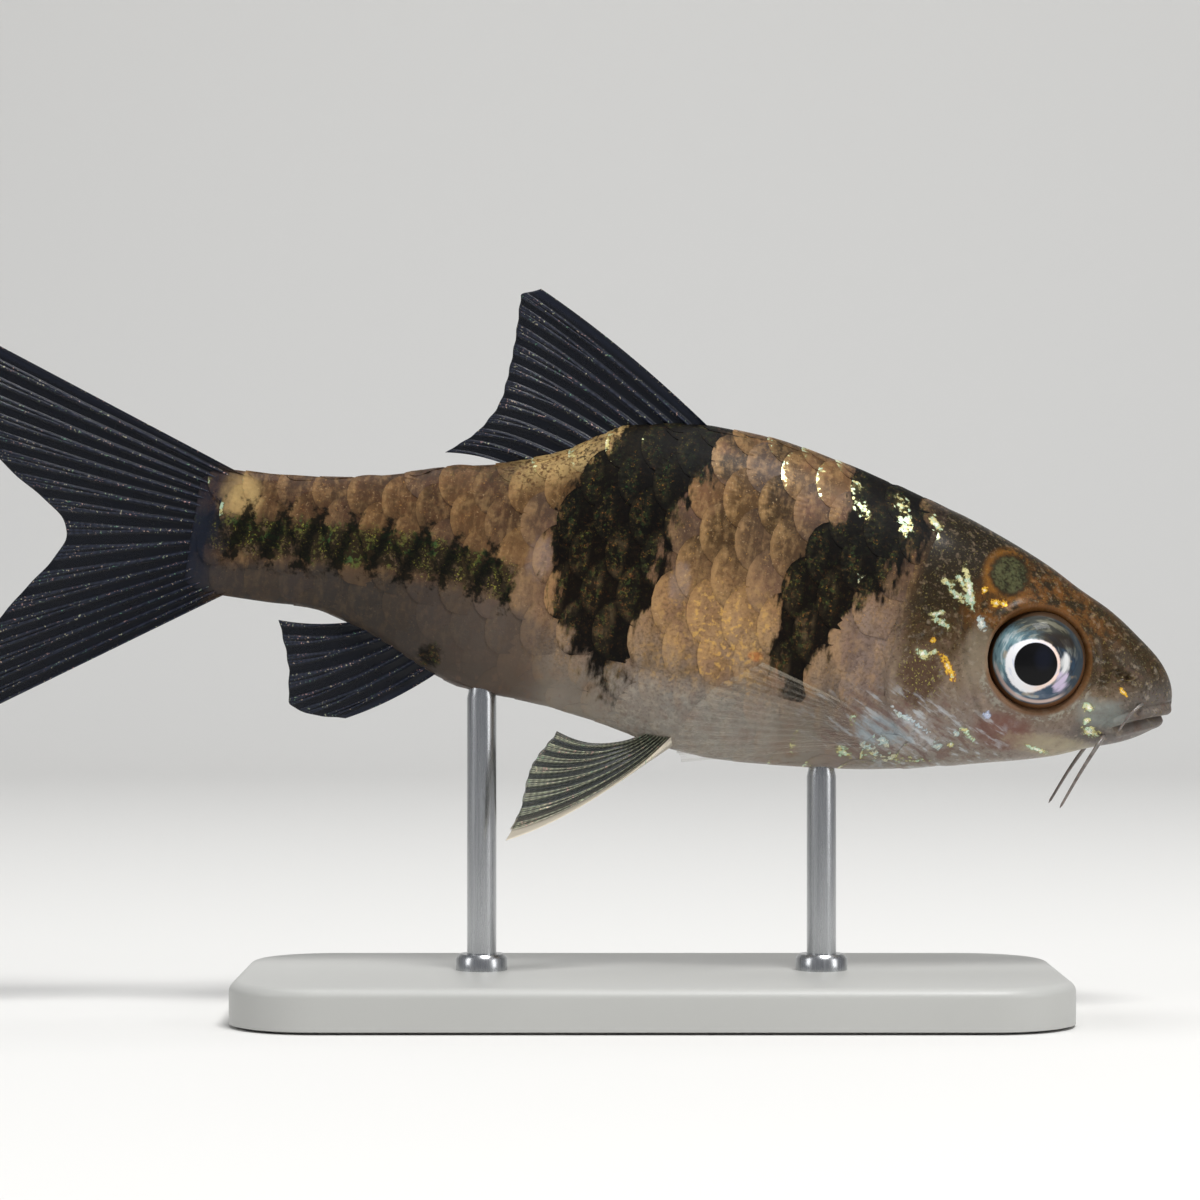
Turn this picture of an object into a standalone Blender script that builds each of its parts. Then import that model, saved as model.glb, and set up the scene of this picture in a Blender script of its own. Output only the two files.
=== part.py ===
"""A spanner barb at life size, as a still museum model held over a plain stand by two rods.

The fish is modelled level and straight: nose towards +X, back towards +Z, its mid-plane at
y = 0. An empty then tips it nose down. Along the fish, places are told by how far they lie
behind the snout, s, and by their height z over the line from snout to tail root.
"""

import math

import bmesh
import bpy
import numpy as np

MM = 0.001

# Driving sizes
LENGTH = 66 * MM  # snout to tail root
PITCH = math.radians(9.5)  # nose down
FLOAT_HEIGHT = 27 * MM  # mid-length of the fish over the table
GAP = 0.3 * MM  # clearance between neighbouring pieces
EYE_AT = (9.85 * MM, 0.98 * MM)  # behind the snout, over the axis
EYE_RADIUS = 3.3 * MM
EYE_DEPTH = 1.9 * MM  # half thickness of the flattened eyeball
EYE_INSET = 1.05 * MM  # its middle under the cheek's surface
EYE_TILT = math.radians(5)  # the eyes look a little up
ORBIT_RIM = 0.55 * MM  # soft flesh round the eye
NOSTRIL_AT = (4.1 * MM, 0.95 * MM)
NOSTRIL_RADIUS = 0.45 * MM
COVER_PROUD = 0.12 * MM  # the gill cover over the cheek
COVER_THICKNESS = 0.8 * MM
RAY_ROOT, RAY_TIP = 0.85 * MM, 0.55 * MM  # fin thickness over a ray
WEB, WEB_EDGE = 0.5 * MM, 0.3 * MM  # fin thickness between rays, and at the free edge
BARBEL_ROOT, BARBEL_TIP = 0.36 * MM, 0.17 * MM  # radii
BASE_SIZE = (56 * MM, 26 * MM, 3 * MM)
BASE_CENTRE = -2.9 * MM  # along X, before the model is centred
BASE_CORNER, BASE_SOFTENING = 6 * MM, 0.7 * MM
RODS = (("stand_rod_front", 8.7 * MM), ("stand_rod_back", -14.4 * MM))
ROD_RADIUS = 1 * MM
SOCKET_DEPTH = 1.5 * MM
CUTTER_GREY = (0.5, 0.5, 0.5)

# The trunk: distance behind the snout, height of the back, level of the belly, half width, in mm
STATIONS = (
    (0.0, -0.35, -0.35, 0.0),
    (1.3, 2.35, -2.6, 1.75),
    (2.8, 3.55, -3.5, 2.45),
    (5.2, 5.15, -4.4, 3.1),
    (7.4, 6.2, -5.3, 3.55),
    (9.6, 7.35, -5.95, 4.0),
    (11.8, 8.3, -6.5, 4.4),
    (13.9, 9.1, -7.05, 4.75),
    (16.8, 10.1, -7.8, 5.1),
    (19.8, 10.9, -8.35, 5.3),
    (25.1, 12.15, -9.0, 5.3),
    (30.4, 12.97, -9.35, 5.1),
    (33.7, 13.05, -9.1, 4.95),
    (36.3, 12.85, -8.6, 4.65),
    (39.6, 12.15, -8.0, 4.2),
    (43.6, 9.75, -7.6, 3.55),
    (47.5, 8.25, -7.45, 3.05),
    (50.8, 7.5, -6.45, 2.65),
    (55.1, 6.2, -4.6, 2.1),
    (59.4, 5.3, -3.76, 1.65),
    (61.7, 5.08, -3.89, 1.35),
    (66.0, 4.7, -3.95, 0.8),
    (67.6, 4.4, -3.7, 0.35),
)
RINGS = 56
RING_POINTS = 40

# Where the gill opening runs, from the nape to the throat: distance behind the snout, height, in mm
GILL_LINE = (
    (14.0, 14.0),
    (15.6, 9.0),
    (17.2, 5.4),
    (19.1, 2.2),
    (19.85, -1.2),
    (19.0, -4.4),
    (16.8, -6.2),
    (13.2, -7.3),
    (9.5, -9.5),
)
# The rear edge of the cheek, where the gill cover starts
CHEEK_LINE = ((16.2, 4.3), (15.0, 0.8), (13.9, -1.9), (12.7, -4.1), (11.4, -5.2))
COVER_REAR_LINE = ((17.4, 4.5), (19.1, 1.9), (19.75, -1.2), (19.0, -3.9), (15.2, -6.2))
TAIL_LINE = ((46.2, 12.0), (47.4, 0.0), (46.6, -10.0))  # just behind the vent


def clear_scene():
    for thing in list(bpy.data.objects):
        bpy.data.objects.remove(thing, do_unlink=True)


def smooth(places, values, at):
    """Monotone cubic curve through the values, so it never swings past one of them."""
    places = np.asarray(places, float)
    steps = np.diff(places)
    slopes = np.diff(values) / steps
    product = slopes[:-1] * slopes[1:]
    total = np.where(product > 0, slopes[:-1] + slopes[1:], 1.0)
    inner = np.where(product > 0, 2 * product / total, 0.0)
    tangents = np.concatenate([slopes[:1], inner, slopes[-1:]])
    at = np.asarray(at, float)
    i = np.clip(np.searchsorted(places, at) - 1, 0, len(steps) - 1)
    t = (at - places[i]) / steps[i]
    values = np.asarray(values, float)
    start = (1 + 2 * t) * (1 - t) ** 2 * values[i] + t * (1 - t) ** 2 * steps[i] * tangents[i]
    end = t * t * (3 - 2 * t) * values[i + 1] - t * t * (1 - t) * steps[i] * tangents[i + 1]
    return start + end


def along(points, u):
    """Points at the shares u of a smooth curve through the given points, in metres."""
    points = np.asarray(points, float) * MM
    run = np.concatenate([[0], np.cumsum(np.linalg.norm(np.diff(points, axis=0), axis=1))])
    return np.stack([smooth(run, column, np.asarray(u) * run[-1]) for column in points.T], axis=-1)


def place(s, y, z):
    """A point of the level fish: s behind the snout, y to its left, z over its long axis."""
    return np.stack(np.broadcast_arrays(LENGTH / 2 - s, y, z), axis=-1)


def trunk(s):
    """Height of the back, level of the belly and half width at s. Nearly a root curve at the nose."""
    table = np.array(STATIONS) * MM
    root = np.sqrt(table[:, 0])
    at = np.sqrt(np.clip(s, 0, None))
    return [smooth(root, table[:, column], at) for column in (1, 2, 3)]


def widest_level(back, belly):
    """The height where the section is widest, a little under its middle."""
    return belly + (back - belly) * 0.44


def skin(s, angle):
    """A point of the trunk. The angle runs from the back, over the left side, round to the right."""
    back, belly, breadth = trunk(s)
    level = widest_level(back, belly)
    rise = np.where(np.cos(angle) > 0, back - level, level - belly)
    return place(s, breadth * np.sin(angle), level + rise * np.cos(angle))


def flank(s, z):
    """Half breadth of the trunk at s and height z."""
    back, belly, breadth = trunk(s)
    level = widest_level(back, belly)
    rise = np.where(z > level, back - level, level - belly)
    return breadth * np.sqrt(np.clip(1 - ((z - level) / rise) ** 2, 0, 1))


def outward(point_at, first, second, step=0.02 * MM):
    """Unit normals of a surface point_at(first, second), from its slopes."""
    turn = step / LENGTH
    along_first = point_at(first + step, second) - point_at(first - step, second)
    along_second = point_at(first, second + turn) - point_at(first, second - turn)
    normal = np.cross(along_second, along_first)
    return normal / np.linalg.norm(normal, axis=-1, keepdims=True)


def finish(name, mesh, colour, parent, roughness=0.45, metallic=0.0):
    """Makes the object with its own material, smooth shaded, with its faces out."""
    work = bmesh.new()
    work.from_mesh(mesh)
    bmesh.ops.recalc_face_normals(work, faces=work.faces)
    if work.calc_volume(signed=True) < 0:
        bmesh.ops.reverse_faces(work, faces=work.faces)
    work.to_mesh(mesh)
    work.free()
    mesh.shade_smooth()
    mesh.set_sharp_from_angle(angle=math.radians(40))
    made = bpy.data.objects.new(name, mesh)
    bpy.context.scene.collection.objects.link(made)
    made.parent = parent
    paint = bpy.data.materials.new(name)
    paint.use_nodes = True
    shader = paint.node_tree.nodes["Principled BSDF"]
    shader.inputs["Base Color"].default_value = (*colour, 1)
    shader.inputs["Roughness"].default_value = roughness
    shader.inputs["Metallic"].default_value = metallic
    mesh.materials.append(paint)
    return made


def new_mesh(name, points, faces):
    mesh = bpy.data.meshes.new(name)
    mesh.from_pydata([tuple(p) for p in points], [], faces)
    return mesh


def as_cutter(made):
    made.hide_render = True
    made.display_type = "WIRE"
    return made


def boolean(made, other, operation, solver="EXACT"):
    """Joins a solid to another, cuts it by the other, or keeps what they share."""
    change = made.modifiers.new(operation.title(), "BOOLEAN")
    change.object = other
    change.operation = operation
    change.solver = solver


def keep_largest(made):
    """Applies the modifiers and keeps only the largest closed surface."""
    bpy.context.view_layer.update()
    graph = bpy.context.evaluated_depsgraph_get()
    mesh = bpy.data.meshes.new_from_object(made.evaluated_get(graph))
    made.modifiers.clear()
    made.data = mesh
    work = bmesh.new()
    work.from_mesh(mesh)
    bmesh.ops.triangulate(work, faces=work.faces)
    islands = []
    left = set(work.faces)
    while left:
        island = {left.pop()}
        edge_of_island = list(island)
        while edge_of_island:
            near = {f for e in edge_of_island.pop().edges for f in e.link_faces} & left
            left -= near
            island |= near
            edge_of_island += near
        islands.append(island)
    islands.sort(key=lambda island: sum(face.calc_area() for face in island))
    scraps = [face for island in islands[:-1] for face in island]
    bmesh.ops.delete(work, geom=scraps, context="FACES")
    work.to_mesh(mesh)
    work.free()


def trunk_mesh(name, out):
    """The whole trunk as one closed surface, grown outwards by out."""
    end = STATIONS[-1][0] * MM
    share = np.arange(1, RINGS + 1) / RINGS
    s = (end * share**1.4)[:, None]
    angle = (np.arange(RING_POINTS) * 2 * math.pi / RING_POINTS)[None, :]
    points = skin(s, angle)
    points = points + out * outward(skin, s, angle)
    nose = place(-out, 0.0, trunk(0.0)[0])
    tail = points[-1].mean(axis=0) - [out, 0, 0]
    points = np.concatenate([points.reshape(-1, 3), [nose, tail]])
    nose_at = len(points) - 2
    tail_at = len(points) - 1
    faces = []
    for column in range(RING_POINTS):
        other = (column + 1) % RING_POINTS
        faces.append((nose_at, column, other))
        last = (RINGS - 1) * RING_POINTS
        faces.append((tail_at, last + other, last + column))
        for ring in range(RINGS - 1):
            near, far = ring * RING_POINTS, (ring + 1) * RING_POINTS
            faces.append((near + column, far + column, far + other, near + other))
    return new_mesh(name, points, faces)


def moved(line, by):
    """A line of (s, z) points set off sideways, towards the tail."""
    line = np.asarray(line, float)
    slope = np.gradient(line, axis=0)
    side = np.stack([-slope[:, 1], slope[:, 0]], axis=1)
    side /= np.linalg.norm(side, axis=1, keepdims=True)
    return line + side * by / MM


def block(name, front, rear, fish):
    """A cutter across the whole fish, between two lines of (s, z) points given in mm."""
    outline = np.concatenate([front, rear[::-1]]) * MM
    reach = 20 * MM  # far past both flanks
    points = [place(s, y, z) for y in (-reach, reach) for s, z in outline]
    count = len(outline)
    faces = [tuple(range(count)), tuple(range(2 * count - 1, count - 1, -1))]
    for i in range(count):
        j = (i + 1) % count
        faces.append((i, i + count, j + count, j))
    return as_cutter(finish(name, new_mesh(name, points, faces), CUTTER_GREY, fish))


def smooth_line(line, count):
    return along(line, np.linspace(0, 1, count)) / MM


def upright_line(s):
    """A line from far over the fish to far under it, s mm behind the snout."""
    return np.array([(s, 20.0), (s, -20.0)])


def add_trunk(fish):
    """Head, torso and tail: the trunk parted at the gill opening and behind the vent."""
    gill = smooth_line(GILL_LINE, 22)
    vent = smooth_line(TAIL_LINE, 7)
    pieces = (
        ("head", upright_line(-5.0), moved(gill, -GAP / 2), (0.36, 0.30, 0.22)),
        ("torso", moved(gill, GAP / 2), moved(vent, -GAP / 2), (0.42, 0.31, 0.22)),
        ("tail", moved(vent, GAP / 2), upright_line(75.0), (0.38, 0.29, 0.22)),
    )
    made = {}
    for name, front, rear, colour in pieces:
        piece = finish(name, trunk_mesh(name, 0.0), colour, fish)
        boolean(piece, block(name + "_block", front, rear, fish), "INTERSECT")
        made[name] = piece
    return made


def ellipsoid(name, centre, radii, fish, colour=CUTTER_GREY, tilt=0.0, rings=10, around=20):
    """An ellipsoid with its poles on the Y axis, then turned by tilt about X."""
    turn = np.arange(around) * 2 * math.pi / around
    lift = np.arange(1, rings) * math.pi / rings
    y = np.cos(lift)[:, None] + 0 * turn
    x = np.sin(lift)[:, None] * np.cos(turn)
    z = np.sin(lift)[:, None] * np.sin(turn)
    ball = np.stack([x, y, z], axis=-1).reshape(-1, 3)
    x, y, z = (np.concatenate([ball, [(0, 1, 0), (0, -1, 0)]]) * radii).T
    lean, rise = math.cos(tilt), math.sin(tilt)
    points = np.stack([x, y * lean - z * rise, y * rise + z * lean], axis=-1) + centre
    top = len(points) - 2
    bottom = len(points) - 1
    faces = []
    for i in range(around):
        j = (i + 1) % around
        faces.append((top, i, j))
        last = (rings - 2) * around
        faces.append((bottom, last + j, last + i))
        for ring in range(rings - 2):
            near, far = ring * around, (ring + 1) * around
            faces.append((near + i, far + i, far + j, near + j))
    return finish(name, new_mesh(name, points, faces), colour, fish, roughness=0.15)


def add_eyes(fish, head):
    """Eyeballs in round sockets, each with a soft rim of flesh round it. The fish has no lids."""
    s, z = EYE_AT
    radii = np.array([EYE_RADIUS, EYE_DEPTH, EYE_RADIUS])
    rim = np.array([ORBIT_RIM + GAP, -0.25 * MM, ORBIT_RIM + GAP])
    for side, suffix in ((1, "left"), (-1, "right")):
        centre = place(s, side * (flank(s, z) - EYE_INSET), z)
        tilt = side * EYE_TILT
        orbit = ellipsoid("orbit_" + suffix, centre, radii + rim, fish, tilt=tilt)
        boolean(head, as_cutter(orbit), "UNION", "MANIFOLD")
        socket = ellipsoid("socket_" + suffix, centre, radii + GAP, fish, tilt=tilt)
        boolean(head, as_cutter(socket), "DIFFERENCE", "MANIFOLD")
        ellipsoid("eye_" + suffix, centre, radii, fish, (0.55, 0.55, 0.5), tilt)


def add_face(fish, head):
    """The mouth slit between the lips, and a nostril on each side."""
    mouth_front, mouth_corner = (-0.8, -1.0), (4.1, -2.75)  # s and z of the mouth line, in mm
    front, corner = np.array(mouth_front), np.array(mouth_corner)
    across = np.array([corner[1] - front[1], front[0] - corner[0]])
    across *= GAP / 2 / MM / np.linalg.norm(across)
    slit_front = np.array([front + across, front - across])
    slit_rear = np.array([corner + across, corner - across])
    slit = block("mouth_slit", slit_front, slit_rear, fish)
    boolean(head, slit, "DIFFERENCE", "MANIFOLD")
    s, z = NOSTRIL_AT
    radii = np.full(3, NOSTRIL_RADIUS)
    for side, suffix in ((1, "left"), (-1, "right")):
        centre = place(s, side * flank(s, z), z)
        pit = ellipsoid("nostril_" + suffix, centre, radii, fish, rings=6, around=10)
        boolean(head, as_cutter(pit), "DIFFERENCE", "MANIFOLD")


def patch_mesh(name, side, grow, outer, inner):
    """A plate that follows the flank between the cheek line and the gill opening."""
    rows, columns = 13, 9
    down = np.linspace(0, 1, rows)
    front = along(CHEEK_LINE, down)
    rear = along(COVER_REAR_LINE, down)
    share = np.linspace(0, 1, columns)[:, None]
    centre = (front.mean(axis=0) + rear.mean(axis=0)) / 2
    grid = front[None] * (1 - share[..., None]) + rear[None] * share[..., None]
    reach = grid - centre
    grid = grid + grow * reach / np.linalg.norm(reach, axis=-1, keepdims=True)
    s, z = grid[..., 0], grid[..., 1]

    def surface(s, z):
        return place(s, side * flank(s, z), z)

    step = 0.05 * MM
    rearward = surface(s + step, z) - surface(s - step, z)
    upward = surface(s, z + step) - surface(s, z - step)
    normal = np.cross(rearward, upward)
    normal /= np.linalg.norm(normal, axis=-1, keepdims=True)
    normal *= np.sign(normal[..., 1:2] * side)
    return sheet_mesh(name, surface(s, z) + outer * normal, surface(s, z) - inner * normal)


def sheet_mesh(name, top, bottom):
    """A closed sheet between two grids of points, split into triangles alike on both faces."""
    columns, rows = top.shape[:2]
    size = columns * rows
    at = np.arange(size).reshape(columns, rows)
    faces = []
    for i in range(columns - 1):
        for j in range(rows - 1):
            a, b, c, d = at[i, j], at[i + 1, j], at[i + 1, j + 1], at[i, j + 1]
            faces += [(a, b, c), (a, c, d), (c + size, b + size, a + size), (d + size, c + size, a + size)]
    rim = [*at[:, 0], *at[-1, 1:], *at[-2::-1, -1], *at[0, -2:0:-1]]
    for i, start in enumerate(rim):
        end = rim[(i + 1) % len(rim)]
        faces += [(start, start + size, end), (end, start + size, end + size)]
    points = np.concatenate([top.reshape(-1, 3), bottom.reshape(-1, 3)])
    return new_mesh(name, points, [tuple(int(v) for v in face) for face in faces])


def add_gill_covers(fish, head):
    """A bony plate over the gills on each side, set in a recess of the head."""
    past_skin = 3 * MM
    for side, suffix in ((1, "left"), (-1, "right")):
        name = "gill_cover_" + suffix
        hollow = patch_mesh(name, side, GAP, past_skin, COVER_THICKNESS + GAP)
        recess = as_cutter(finish(name + "_recess", hollow, CUTTER_GREY, fish))
        boolean(head, recess, "DIFFERENCE", "MANIFOLD")
        plate = patch_mesh(name, side, 0.0, COVER_PROUD, COVER_THICKNESS)
        finish(name, plate, (0.45, 0.36, 0.30), fish)


def fin_mesh(name, roots, tips, rays, bow, root_web, rows):
    """A fin blade: rays run from the root line to the tip line as ridges on the web between them.

    bow is how far the rays' middles stand off the straight, in mm, and root_web is the
    thickness where the fin leaves the body.
    """
    gaps = np.arange(rays - 1)[:, None] + np.array([0, 0.3, 0.7])
    u = np.append(gaps.reshape(-1), rays - 1.0) / (rays - 1)
    ridge = np.append(np.tile([1.0, 0.0, 0.0], rays - 1), 1.0)[:, None, None]
    r = np.linspace(0, 1, rows)[None, :, None]
    start = along(roots, u)[:, None]
    end = along(tips, u)[:, None]
    middle = start + (end - start) * r + np.array(bow) * MM * 4 * r * (1 - r)
    normal = np.cross(np.gradient(middle, axis=0), np.gradient(middle, axis=1))
    normal /= np.linalg.norm(normal, axis=-1, keepdims=True)
    swelling = (root_web - WEB) * np.clip(1 - r / 0.35, 0, 1)
    thick = swelling + np.where(ridge > 0, RAY_ROOT + (RAY_TIP - RAY_ROOT) * r, WEB)
    thick = np.where(r == 1, WEB_EDGE, thick)
    points = place(middle[..., 0], middle[..., 1], middle[..., 2])
    normal[..., 0] *= -1
    return sheet_mesh(name, points + normal * thick / 2, points - normal * thick / 2)


def add_fin(name, fish, clearance, roots, tips, rays, bow, root_web=0.9 * MM, rows=5):
    mesh = fin_mesh(name, roots, tips, rays, bow, root_web, rows)
    made = finish(name, mesh, (0.06, 0.07, 0.09), fish, roughness=0.35)
    boolean(made, clearance, "DIFFERENCE", "MANIFOLD")
    keep_largest(made)


def add_median_fins(fish, clearance):
    """Points of the fins on the mid-plane are s, y and z in mm. Root lines lie inside the body."""
    add_fin(
        "dorsal_fin", fish, clearance,
        roots=((33.0, 0, 12.1), (39.2, 0, 11.0), (45.0, 0, 7.4)),
        tips=((46.9, 0, 20.3), (48.2, 0, 19.6), (48.1, 0, 16.5), (48.3, 0, 12.8), (49.4, 0, 10.3),
              (51.5, 0, 8.25)),
        rays=12, bow=(0, 0, 0.45),
    )
    add_fin(
        "anal_fin", fish, clearance,
        roots=((49.0, 0, -6.1), (51.0, 0, -5.2), (54.3, 0, -3.6)),
        tips=((55.2, 0, -10.7), (57.2, 0, -10.85), (59.1, 0, -10.4), (59.6, 0, -8.0), (60.8, 0, -4.85)),
        rays=8, bow=(0, 0, -0.35),
    )
    # The forked tail fin is parted between its lobes, along the fork
    add_fin(
        "caudal_fin_upper", fish, clearance,
        roots=((64.5, 0, 4.4), (65.2, 0, 2.0), (65.4, 0, 0.5)),
        tips=((91.0, 0, 13.2), (86.0, 0, 7.0), (81.2, 0, 2.7), (76.0, 0, -1.35)),
        rays=10, bow=(0, 0, 0), rows=6,
    )
    add_fin(
        "caudal_fin_lower", fish, clearance,
        roots=((65.4, 0, 0.2), (65.2, 0, -1.2), (64.5, 0, -3.6)),
        tips=((76.0, 0, -1.65), (78.8, 0, -6.6), (82.2, 0, -12.2), (85.8, 0, -18.8)),
        rays=9, bow=(0, 0, 0), rows=6,
    )


def add_paired_fins(fish, clearance):
    for side, suffix in ((1, "left"), (-1, "right")):
        add_fin(
            "pectoral_fin_" + suffix, fish, clearance,
            roots=((18.6, side * 2.4, -5.0), (18.3, side * 2.1, -5.5), (18.1, side * 1.7, -6.0)),
            tips=((28.2, side * 7.3, -2.2), (31.6, side * 7.9, -5.0), (33.0, side * 7.8, -8.2),
                  (32.4, side * 7.2, -9.6)),
            rays=14, bow=(0, side * 0.35, 0), root_web=1.1 * MM,
        )
        add_fin(
            "pelvic_fin_" + suffix, fish, clearance,
            roots=((32.4, side * 1.3, -7.7), (33.2, side * 1.1, -7.9), (34.0, side * 0.9, -8.0)),
            tips=((43.0, side * 6.0, -16.7), (42.4, side * 5.6, -14.6), (42.3, side * 4.8, -12.4),
                  (40.9, side * 3.2, -9.3)),
            rays=9, bow=(0, 0, -0.95), root_web=1.1 * MM,
        )


def tube_mesh(name, path, radii, sides=8):
    """A round tube through the path's points, with a radius at each."""
    forward = np.gradient(path, axis=0)
    forward /= np.linalg.norm(forward, axis=1, keepdims=True)
    first = np.cross(forward, [0, 1, 0])
    first /= np.linalg.norm(first, axis=1, keepdims=True)
    second = np.cross(forward, first)
    turn = np.arange(sides) * 2 * math.pi / sides
    ring = first[:, None] * np.cos(turn)[:, None] + second[:, None] * np.sin(turn)[:, None]
    points = path[:, None] + ring * np.asarray(radii)[:, None, None]
    count = len(path)
    faces = [tuple(range(sides)), tuple(range(count * sides - 1, (count - 1) * sides - 1, -1))]
    for i in range(count - 1):
        for j in range(sides):
            k = (j + 1) % sides
            faces.append((i * sides + j, (i + 1) * sides + j, (i + 1) * sides + k, i * sides + k))
    return new_mesh(name, points.reshape(-1, 3), faces)


def add_barbels(fish, clearance):
    """Two pairs of feelers: a short one beside the snout, a longer one at the corner of the mouth."""
    rostral = ((2.0, 1.0, -0.7), (2.4, 2.6, -0.9), (3.1, 3.1, -1.7), (3.7, 3.3, -2.9))
    maxillary = ((4.1, 0.9, -2.9), (4.6, 2.2, -3.7), (5.6, 2.9, -5.8), (6.7, 3.2, -8.6))
    for side, suffix in ((1, "left"), (-1, "right")):
        for name, points in (("barbel_rostral_", rostral), ("barbel_maxillary_", maxillary)):
            course = along([(s, side * y, z) for s, y, z in points], np.linspace(0, 1, 9))
            radii = np.linspace(BARBEL_ROOT, BARBEL_TIP, 9)
            mesh = tube_mesh(name + suffix, place(*course.T), radii)
            made = finish(name + suffix, mesh, (0.35, 0.33, 0.32), fish)
            boolean(made, clearance, "DIFFERENCE", "MANIFOLD")
            keep_largest(made)


def cylinder(name, x, low, high, radius, parent, colour, sides=24, metallic=1.0):
    mesh = tube_mesh(name, np.array([(x, 0, low), (x, 0, high)]), [radius, radius], sides)
    return finish(name, mesh, colour, parent, roughness=0.3, metallic=metallic)


def add_stand(model, clearance):
    """A flat base with softened edges, and two rods from sockets in it up to the belly."""
    height = BASE_SIZE[2]
    work = bmesh.new()
    bmesh.ops.create_cube(work, size=1)
    bmesh.ops.scale(work, vec=BASE_SIZE, verts=work.verts)
    bmesh.ops.translate(work, vec=(BASE_CENTRE, 0, height / 2), verts=work.verts)
    upright = [e for e in work.edges if abs(e.verts[0].co.z - e.verts[1].co.z) > height / 2]
    bmesh.ops.bevel(work, geom=upright, offset=BASE_CORNER, segments=6, affect="EDGES", profile=0.5)
    top = [e for e in work.edges if min(v.co.z for v in e.verts) > height * 0.9]
    bmesh.ops.bevel(work, geom=top, offset=BASE_SOFTENING, segments=3, affect="EDGES", profile=0.5)
    mesh = bpy.data.meshes.new("stand_base")
    work.to_mesh(mesh)
    work.free()
    base = finish("stand_base", mesh, (0.62, 0.62, 0.60), model, roughness=0.4)
    floor = height - SOCKET_DEPTH
    for name, x in RODS:
        wide = ROD_RADIUS + GAP
        socket = cylinder(name + "_socket", x, floor, 2 * height, wide, model, CUTTER_GREY)
        boolean(base, as_cutter(socket), "DIFFERENCE")
        rod = cylinder(name, x, floor + GAP, FLOAT_HEIGHT, ROD_RADIUS, model, (0.7, 0.7, 0.72))
        boolean(rod, clearance, "DIFFERENCE")
        keep_largest(rod)


def centre_on(model):
    """Shifts the model so that its box is centred over the origin, with the base at z = 0."""
    bpy.context.view_layer.update()
    graph = bpy.context.evaluated_depsgraph_get()
    low, high = np.full(3, np.inf), np.full(3, -np.inf)
    for thing in bpy.data.objects:
        if thing.type != "MESH" or thing.hide_render:
            continue
        solid = thing.evaluated_get(graph)
        points = [solid.matrix_world @ vertex.co for vertex in solid.data.vertices]
        low = np.minimum(low, np.min(points, axis=0))
        high = np.maximum(high, np.max(points, axis=0))
    shift = -(low + high) / 2
    model.location = (shift[0], shift[1], 0)


clear_scene()
model = bpy.data.objects.new("model", None)
fish = bpy.data.objects.new("fish", None)
for empty in (model, fish):
    bpy.context.scene.collection.objects.link(empty)
fish.parent = model
fish.location = (0, 0, FLOAT_HEIGHT)
fish.rotation_euler = (0, PITCH, 0)

body = add_trunk(fish)
add_eyes(fish, body["head"])
add_face(fish, body["head"])
add_gill_covers(fish, body["head"])
grown_trunk = trunk_mesh("body_clearance", GAP)
clearance = as_cutter(finish("body_clearance", grown_trunk, CUTTER_GREY, fish))
add_median_fins(fish, clearance)
add_paired_fins(fish, clearance)
add_barbels(fish, clearance)
add_stand(model, clearance)
centre_on(model)
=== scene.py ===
import math
from types import SimpleNamespace

import bpy
import numpy as np
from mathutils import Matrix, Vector


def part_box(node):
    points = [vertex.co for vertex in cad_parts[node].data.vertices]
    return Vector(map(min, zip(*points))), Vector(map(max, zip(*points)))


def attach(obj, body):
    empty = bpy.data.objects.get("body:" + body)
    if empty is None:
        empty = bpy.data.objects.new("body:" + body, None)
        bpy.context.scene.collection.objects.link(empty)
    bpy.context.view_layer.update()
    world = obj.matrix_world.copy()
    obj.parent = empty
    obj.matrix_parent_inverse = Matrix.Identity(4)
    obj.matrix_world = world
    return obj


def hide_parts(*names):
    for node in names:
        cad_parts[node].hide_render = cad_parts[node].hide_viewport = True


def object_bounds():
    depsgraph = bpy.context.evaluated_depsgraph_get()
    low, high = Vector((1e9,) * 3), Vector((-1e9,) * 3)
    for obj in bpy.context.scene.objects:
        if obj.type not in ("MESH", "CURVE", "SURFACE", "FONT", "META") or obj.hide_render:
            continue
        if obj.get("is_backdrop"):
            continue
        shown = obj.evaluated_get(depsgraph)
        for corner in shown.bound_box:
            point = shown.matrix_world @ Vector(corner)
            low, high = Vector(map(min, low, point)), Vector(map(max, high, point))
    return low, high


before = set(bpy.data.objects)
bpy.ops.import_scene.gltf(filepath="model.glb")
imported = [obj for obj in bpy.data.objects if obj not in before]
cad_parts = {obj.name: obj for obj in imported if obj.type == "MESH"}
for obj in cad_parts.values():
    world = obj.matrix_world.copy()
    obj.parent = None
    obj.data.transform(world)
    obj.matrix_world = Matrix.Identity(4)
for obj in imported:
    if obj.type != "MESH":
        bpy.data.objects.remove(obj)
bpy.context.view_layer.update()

# The skin of the fish, from the lips to the root of the tail fin: one closed, wet surface over
# head, gill covers, torso and tail. It is a grid of rings round a level, straight fish, raised
# and sunk where lips, nostrils, eye sockets and gill covers are, then tipped nose down.
MM = 0.001
BODY_LENGTH = 66.0  # snout to tail root, in mm, as every shape of the fish below
NOSE_DOWN = math.radians(9.5)

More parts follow.
